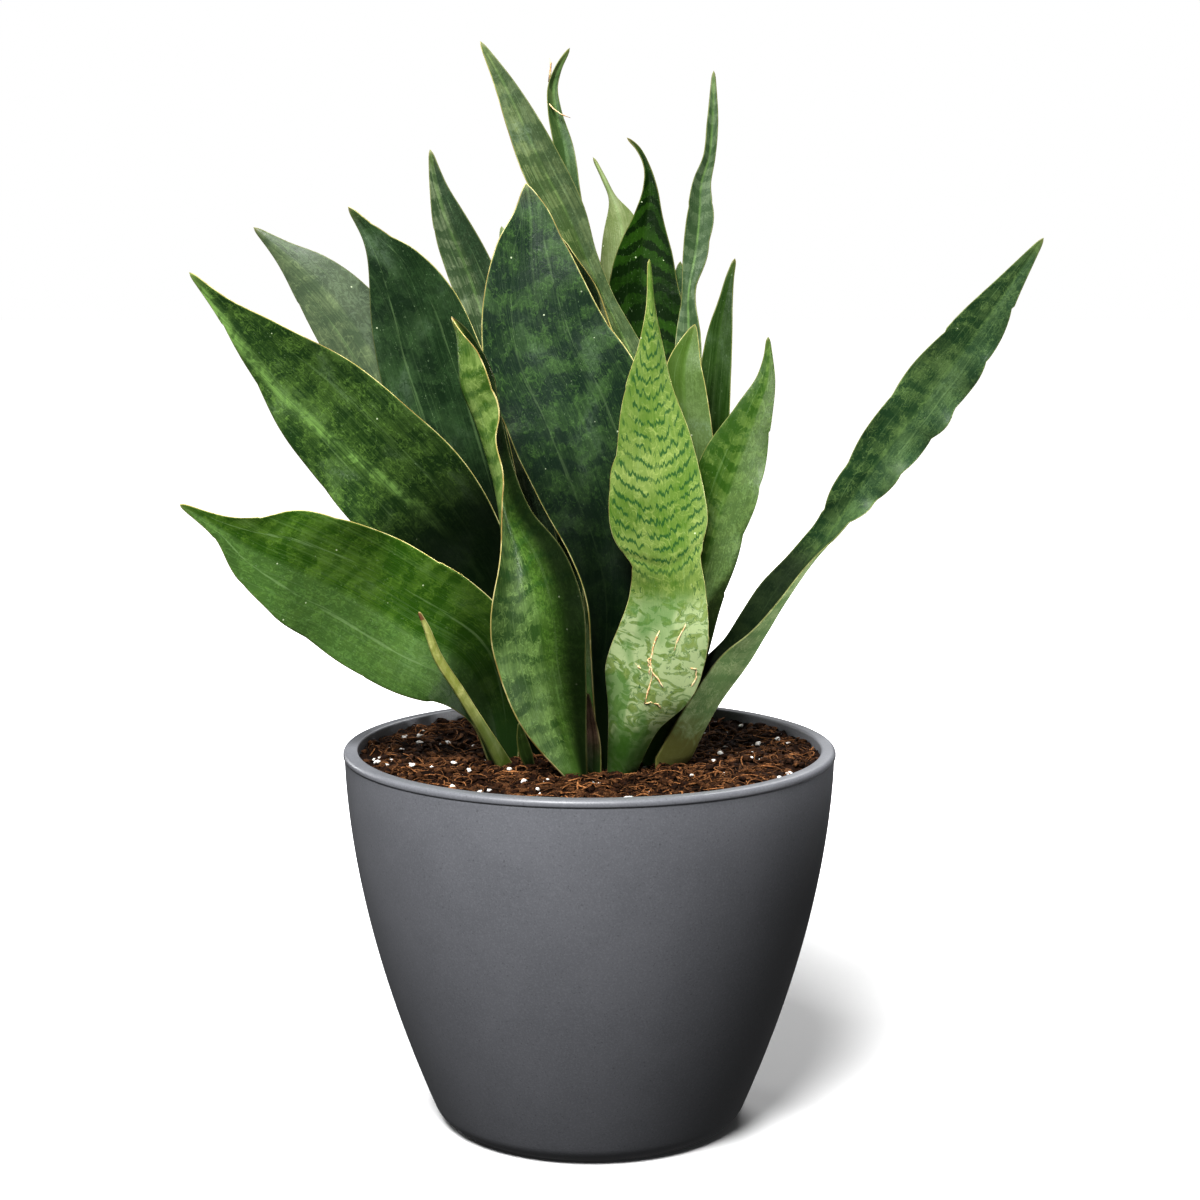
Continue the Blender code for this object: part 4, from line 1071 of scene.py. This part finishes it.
def pot_profile():
    floor_corner = foot_corner(inner_radius, POT_FLOOR, FOOT_ROUND - POT_WALL / 2,
                               FLOOR_CORNER_STEPS)
    profile = [(0.0, POT_FLOOR)] + floor_corner[::-1]
    low, high = floor_corner[0][1] + 1.5 * SIDE_STEP, POT_HEIGHT - 1.5 * SIDE_STEP
    for height in evenly(low, high, WALL_STEPS):
        profile.append((inner_radius(height), height))
    lip = RIM_RADIUS - POT_WALL + RIM_INNER_ROUND
    profile += arc(lip, POT_HEIGHT - RIM_INNER_ROUND, RIM_INNER_ROUND, 180, 90, LIP_STEPS)
    profile += arc(RIM_RADIUS - RIM_OUTER_ROUND, POT_HEIGHT - RIM_OUTER_ROUND,
                   RIM_OUTER_ROUND, 90, 0, RIM_STEPS)
    step = POT_HEIGHT - RIM_BAND
    profile += arc(RIM_RADIUS - BAND_ROUND, step + BAND_ROUND, BAND_ROUND, 0, -65, BAND_STEPS)
    profile += [(side_radius(step) + BAND_FADE / 16, step - BAND_FADE / 4),
                (side_radius(step), step - BAND_FADE)]
    corner = foot_corner(side_radius, 0.0, FOOT_ROUND, FOOT_CORNER_STEPS)
    for height in evenly(step - SIDE_STEP, corner[0][1] + SIDE_STEP, SIDE_STEPS):
        profile.append((side_radius(height), height))
    out, inside = GROOVE_RADIUS + GROOVE_WIDTH / 2, GROOVE_RADIUS - GROOVE_WIDTH / 2
    return profile + corner + [
        (out + GROOVE_LIP, 0.0), (out, 0.0), (out - GROOVE_DEPTH, GROOVE_DEPTH),
        (inside + GROOVE_DEPTH, GROOVE_DEPTH), (inside, 0.0), (inside - GROOVE_LIP, 0.0),
        (0.0, 0.0)]


def turned_mesh(name, profile):
    """A profile that starts and ends on the axis, spun into a closed mesh."""
    inner = profile[1:-1]
    points = [(x * math.cos(a), x * math.sin(a), z) for x, z in inner
              for a in (2.0 * math.pi * k / ROUND_STEPS for k in range(ROUND_STEPS))]
    faces = []
    for level in range(len(inner) - 1):
        for k in range(ROUND_STEPS):
            j = (k + 1) % ROUND_STEPS
            a, b = level * ROUND_STEPS, (level + 1) * ROUND_STEPS
            faces.append((a + k, a + j, b + j, b + k))
    last = (len(inner) - 1) * ROUND_STEPS
    points += [(0.0, 0.0, profile[0][1]), (0.0, 0.0, profile[-1][1])]
    top, bottom = len(points) - 2, len(points) - 1
    for k in range(ROUND_STEPS):
        j = (k + 1) % ROUND_STEPS
        faces.append((j, k, top))
        faces.append((last + k, last + j, bottom))
    return closed_mesh(name, points, faces)


# ---------------------------------------------------------------- potting mix
SOIL_RADIUS = inner_radius(POT_HEIGHT - HEADROOM) - FIT_GAP


def uneven(x, y, kind, key):
    """A smooth random height in mm at a place, of one kind of unevenness."""
    per_metre, height = kind
    return height * noise.noise(Vector((x * per_metre, y * per_metre, key)))


def soil_top(x, y):
    """Height of the lumpy soil surface at a place in the pot."""
    share = min(1.0, math.hypot(x, y) / SOIL_RADIUS)
    base = POT_HEIGHT - HEADROOM - SOIL_DISH * (1.0 - share * share)
    rough = (uneven(x, y, LUMPS, 1.0) + abs(uneven(x, y, CLODS, 4.0))
             + abs(uneven(x, y, CRUMBS, 9.0)))
    gaps = max(0.0, uneven(x, y, GAPS, 20.0)) * share ** 8
    return base + (rough - gaps - 0.6) * MM


def soil_mesh():
    points, faces = [(0.0, 0.0, soil_top(0.0, 0.0))], []
    angles = [2.0 * math.pi * k / SOIL_SPOKES for k in range(SOIL_SPOKES)]
    for ring in range(1, SOIL_RINGS + 1):
        radius = SOIL_RADIUS * ring / SOIL_RINGS
        for a in angles:
            x, y = radius * math.cos(a), radius * math.sin(a)
            points.append((x, y, soil_top(x, y)))
    corner = foot_corner(inner_radius, POT_FLOOR, FOOT_ROUND - POT_WALL / 2, SOIL_CORNER_STEPS)
    low, high = corner[0][1] + SOIL_SIDE[0], POT_HEIGHT - SOIL_SIDE[1]
    side = [(inner_radius(h) - FIT_GAP, h) for h in evenly(high, low, SOIL_SIDE_STEPS)]
    for radius, height in side + [(x - FIT_GAP, z + FIT_GAP) for x, z in corner]:
        points += [(radius * math.cos(a), radius * math.sin(a), height) for a in angles]
    rings = SOIL_RINGS + len(side) + len(corner)
    for k in range(SOIL_SPOKES):
        faces.append((0, 1 + k, 1 + (k + 1) % SOIL_SPOKES))
    for ring in range(rings - 1):
        a, b = 1 + ring * SOIL_SPOKES, 1 + (ring + 1) * SOIL_SPOKES
        faces += [(a + k, b + k, b + (k + 1) % SOIL_SPOKES, a + (k + 1) % SOIL_SPOKES)
                  for k in range(SOIL_SPOKES)]
    last = 1 + (rings - 1) * SOIL_SPOKES
    faces.append(tuple(range(last + SOIL_SPOKES - 1, last - 1, -1)))
    return closed_mesh("soil_bed", points, faces)


def round_seed():
    """Corner points and faces of a unit ball, to be pulled out of round for a grain."""
    work = bmesh.new()
    bmesh.ops.create_icosphere(work, subdivisions=2, radius=1.0)
    points = [v.co.copy() for v in work.verts]
    faces = [tuple(v.index for v in face.verts) for face in work.faces]
    work.free()
    return points, faces


def random_spot(dice, spread):
    radius = SOIL_RADIUS * spread * math.sqrt(dice.random())
    angle = dice.uniform(0.0, 2.0 * math.pi)
    return radius * math.cos(angle), radius * math.sin(angle)


def grains(dice, count, sizes, stretch, rough, sink, tones):
    """Irregular grains lying on the soil: sizes in mm, sink is the share of a grain that's in it."""
    points, faces = round_seed()
    heap = Heap()
    for _ in range(count):
        x, y = random_spot(dice, LOOSE_REACH)
        size = dice.uniform(*sizes) * MM / 2.0
        long = dice.uniform(1.0, stretch)
        flat = dice.uniform(0.55, 0.9)
        turn = dice.uniform(0.0, math.pi)
        tilt = dice.uniform(-0.5, 0.5)
        key = dice.uniform(0.0, 100.0)
        spot = Vector((x, y, soil_top(x, y) + size * (1.0 - sink)))
        placed = []
        for p in points:
            bulge = 1.0 + rough * noise.noise(p * 1.6 + Vector((key, 0.0, 0.0)))
            q = Vector((p.x * long, p.y, p.z * flat)) * (bulge * size)
            q = Vector((q.x, q.y * math.cos(tilt) - q.z * math.sin(tilt),
                        q.y * math.sin(tilt) + q.z * math.cos(tilt)))
            placed.append(spot + Vector((q.x * math.cos(turn) - q.y * math.sin(turn),
                                         q.x * math.sin(turn) + q.y * math.cos(turn), q.z)))
        heap.add(placed, faces, dice.uniform(*tones))
    return heap


def fibres(dice, count, lengths, widths, flat, arch, tones, sides=5):
    """Curved strands of coir and strips of bark, lying over and through the soil, sizes in mm."""
    heap = Heap()
    for _ in range(count):
        x, y = random_spot(dice, FIBRE_REACH)
        length = dice.uniform(*lengths) * MM
        heading = dice.uniform(0.0, 2.0 * math.pi)
        curl = dice.gauss(0.0, 0.42)
        rise = dice.uniform(*arch) * MM
        path = []
        for i in range(FIBRE_STEPS + 1):
            t = i / FIBRE_STEPS
            path.append(Vector((x, y, soil_top(x, y) + rise * math.sin(math.pi * t))))
            heading += curl + dice.gauss(0.0, 0.12)
            step = length / FIBRE_STEPS
            x, y = x + step * math.cos(heading), y + step * math.sin(heading)
            reach = math.hypot(x, y)
            if reach > SOIL_RADIUS * LOOSE_REACH:
                x, y = (v * SOIL_RADIUS * LOOSE_REACH / reach for v in (x, y))
                heading += 1.0
        for _ in range(2):
            inner = [(a + b * 2 + c) / 4 for a, b, c in zip(path, path[1:], path[2:])]
            path = [path[0]] + inner + [path[-1]]
        width = dice.uniform(*widths) * MM / 2.0
        radii = [width * (0.35 + 0.65 * math.sin(math.pi * (0.08 + 0.84 * i / FIBRE_STEPS)))
                 for i in range(FIBRE_STEPS + 1)]
        heap.add(*tube_parts(path, radii, sides, flat), dice.uniform(*tones))
    return heap


# ---------------------------------------------------------------- stage
def add_light(name, location, target, size, power, spread):
    light = bpy.data.lights.new(name, "AREA")
    light.shape = "DISK"
    light.size = size
    light.energy = power
    light.spread = math.radians(spread)
    lamp = bpy.data.objects.new(name, light)
    lamp.location = location
    aim = Vector(target) - Vector(location)
    lamp.rotation_euler = aim.to_track_quat("-Z", "Y").to_euler()
    bpy.context.scene.collection.objects.link(lamp)


def add_floor():
    mesh = bpy.data.meshes.new("floor")
    corners = [(x * FLOOR_REACH, y * FLOOR_REACH, 0.0)
               for x, y in ((-1, -1), (1, -1), (1, 1), (-1, 1))]
    mesh.from_pydata(corners, [], [(0, 1, 2, 3)])
    mesh.materials.append(floor_material())
    floor = bpy.data.objects.new("floor", mesh)
    bpy.context.scene.collection.objects.link(floor)
    floor.visible_diffuse = False
    floor.visible_glossy = False


def add_studio():
    world = bpy.data.worlds.new("studio")
    world.use_nodes = True
    nodes, links = world.node_tree.nodes, world.node_tree.links
    background = nodes["Background"]
    background.inputs["Color"].default_value = (1.0, 1.0, 1.0, 1.0)
    seen = nodes.new("ShaderNodeLightPath").outputs["Is Camera Ray"]
    level = nodes.new("ShaderNodeMapRange")
    links.new(seen, level.inputs["Value"])
    level.inputs["To Min"].default_value = WORLD_LIGHT
    level.inputs["To Max"].default_value = 1.0
    links.new(level.outputs[0], background.inputs["Strength"])
    scene = bpy.context.scene
    scene.world = world
    scene.view_settings.view_transform = "Standard"
    scene.view_settings.gamma = VIEW_GAMMA
    for lamp in LAMPS:
        add_light(*lamp)


def add_camera():
    camera = bpy.data.cameras.new("camera")
    camera.lens = LENS
    camera.sensor_width = SENSOR_WIDTH
    camera.shift_x = LENS_SHIFT
    camera.clip_end = 4 * FLOOR_REACH
    eye = bpy.data.objects.new("camera", camera)
    eye.location = EYE
    eye.rotation_euler = (math.radians(90.0 - LOOK_DOWN), 0.0, 0.0)
    bpy.context.scene.collection.objects.link(eye)
    bpy.context.scene.camera = eye


def add_leaves():
    slot_of = {name: slot for slot, names in SLOTS.items() for name in names}
    blades = {name: Blade(name) for name in LEAVES}
    for name, blade in blades.items():
        add_piece("fine_" + name, blade.mesh("fine_" + name), leaf_material(name),
                  slot_of[name], name)
    return blades


def add_scars(blades):
    """The dry lines on two leaves and the dry threads, as one piece."""
    scars = Heap()
    dice = random.Random(5)
    for name, lines in SCARS.items():
        for line in lines:
            path = [blades[name].at(share, span) for share, span in line]
            dense = [path[0]]
            for a, b in zip(path, path[1:]):
                for t in (0.33, 0.66):
                    wander = [dice.gauss(0, SCAR_WANDER * MM) for _ in range(3)]
                    dense.append(a.lerp(b, t) + Vector(wander))
                dense.append(b)
            radii = [dice.uniform(*SCAR_RADII) * MM for _ in dense]
            radii[0] = radii[-1] = SCAR_END * MM
            scars.add(*tube_parts(dense, radii, 6), 0.5)
    for *places, thickness in THREADS:
        path = [Vector(place) * MM + Vector((0.0, 0.0, SOIL_LINE)) for place in places]
        radii = [0.5 * thickness * MM] * (len(path) - 1) + [THREAD_END * MM]
        scars.add(*tube_parts(path, radii, 6), 0.5)
    add_piece("leaf_scars", scars.mesh("leaf_scars"), scar_material(), "leaf_dry")


def add_potting_mix():
    add_piece("soil_bed", soil_mesh(), soil_material(), "soil", "potting_soil")
    loose, white = crumb_material(), perlite_material()
    dice = random.Random(21)
    for name, make, material, kind in (
            ("soil_crumbs", grains, loose, dict(
                count=1500, sizes=(1.2, 4.2), stretch=1.9, rough=0.9, sink=0.45,
                tones=(0.0, 0.55))),
            ("coir_fibres", fibres, loose, dict(
                count=1500, lengths=(6.0, 26.0), widths=(0.35, 1.0), flat=0.8, arch=(0.2, 3.0),
                tones=(0.25, 1.0))),
            ("long_fibres", fibres, loose, dict(
                count=26, lengths=(16.0, 30.0), widths=(0.9, 1.5), flat=0.7, arch=(0.8, 4.0),
                tones=(0.9, 1.0))),
            ("bark_strips", fibres, loose, dict(
                count=380, lengths=(6.0, 16.0), widths=(1.2, 2.8), flat=0.32, arch=(0.3, 2.4),
                tones=(0.10, 0.75), sides=6)),
            ("perlite_grains", grains, white, dict(
                count=120, sizes=(1.0, 3.2), stretch=1.7, rough=0.7, sink=0.15,
                tones=(0.0, 1.0)))):
        add_piece(name, make(dice, **kind).mesh(name), material, "soil")


add_camera()
add_floor()
add_studio()
add_scars(add_leaves())
add_piece("planter", turned_mesh("planter", pot_profile()), pot_material(), "pot_plastic", "pot")
add_potting_mix()
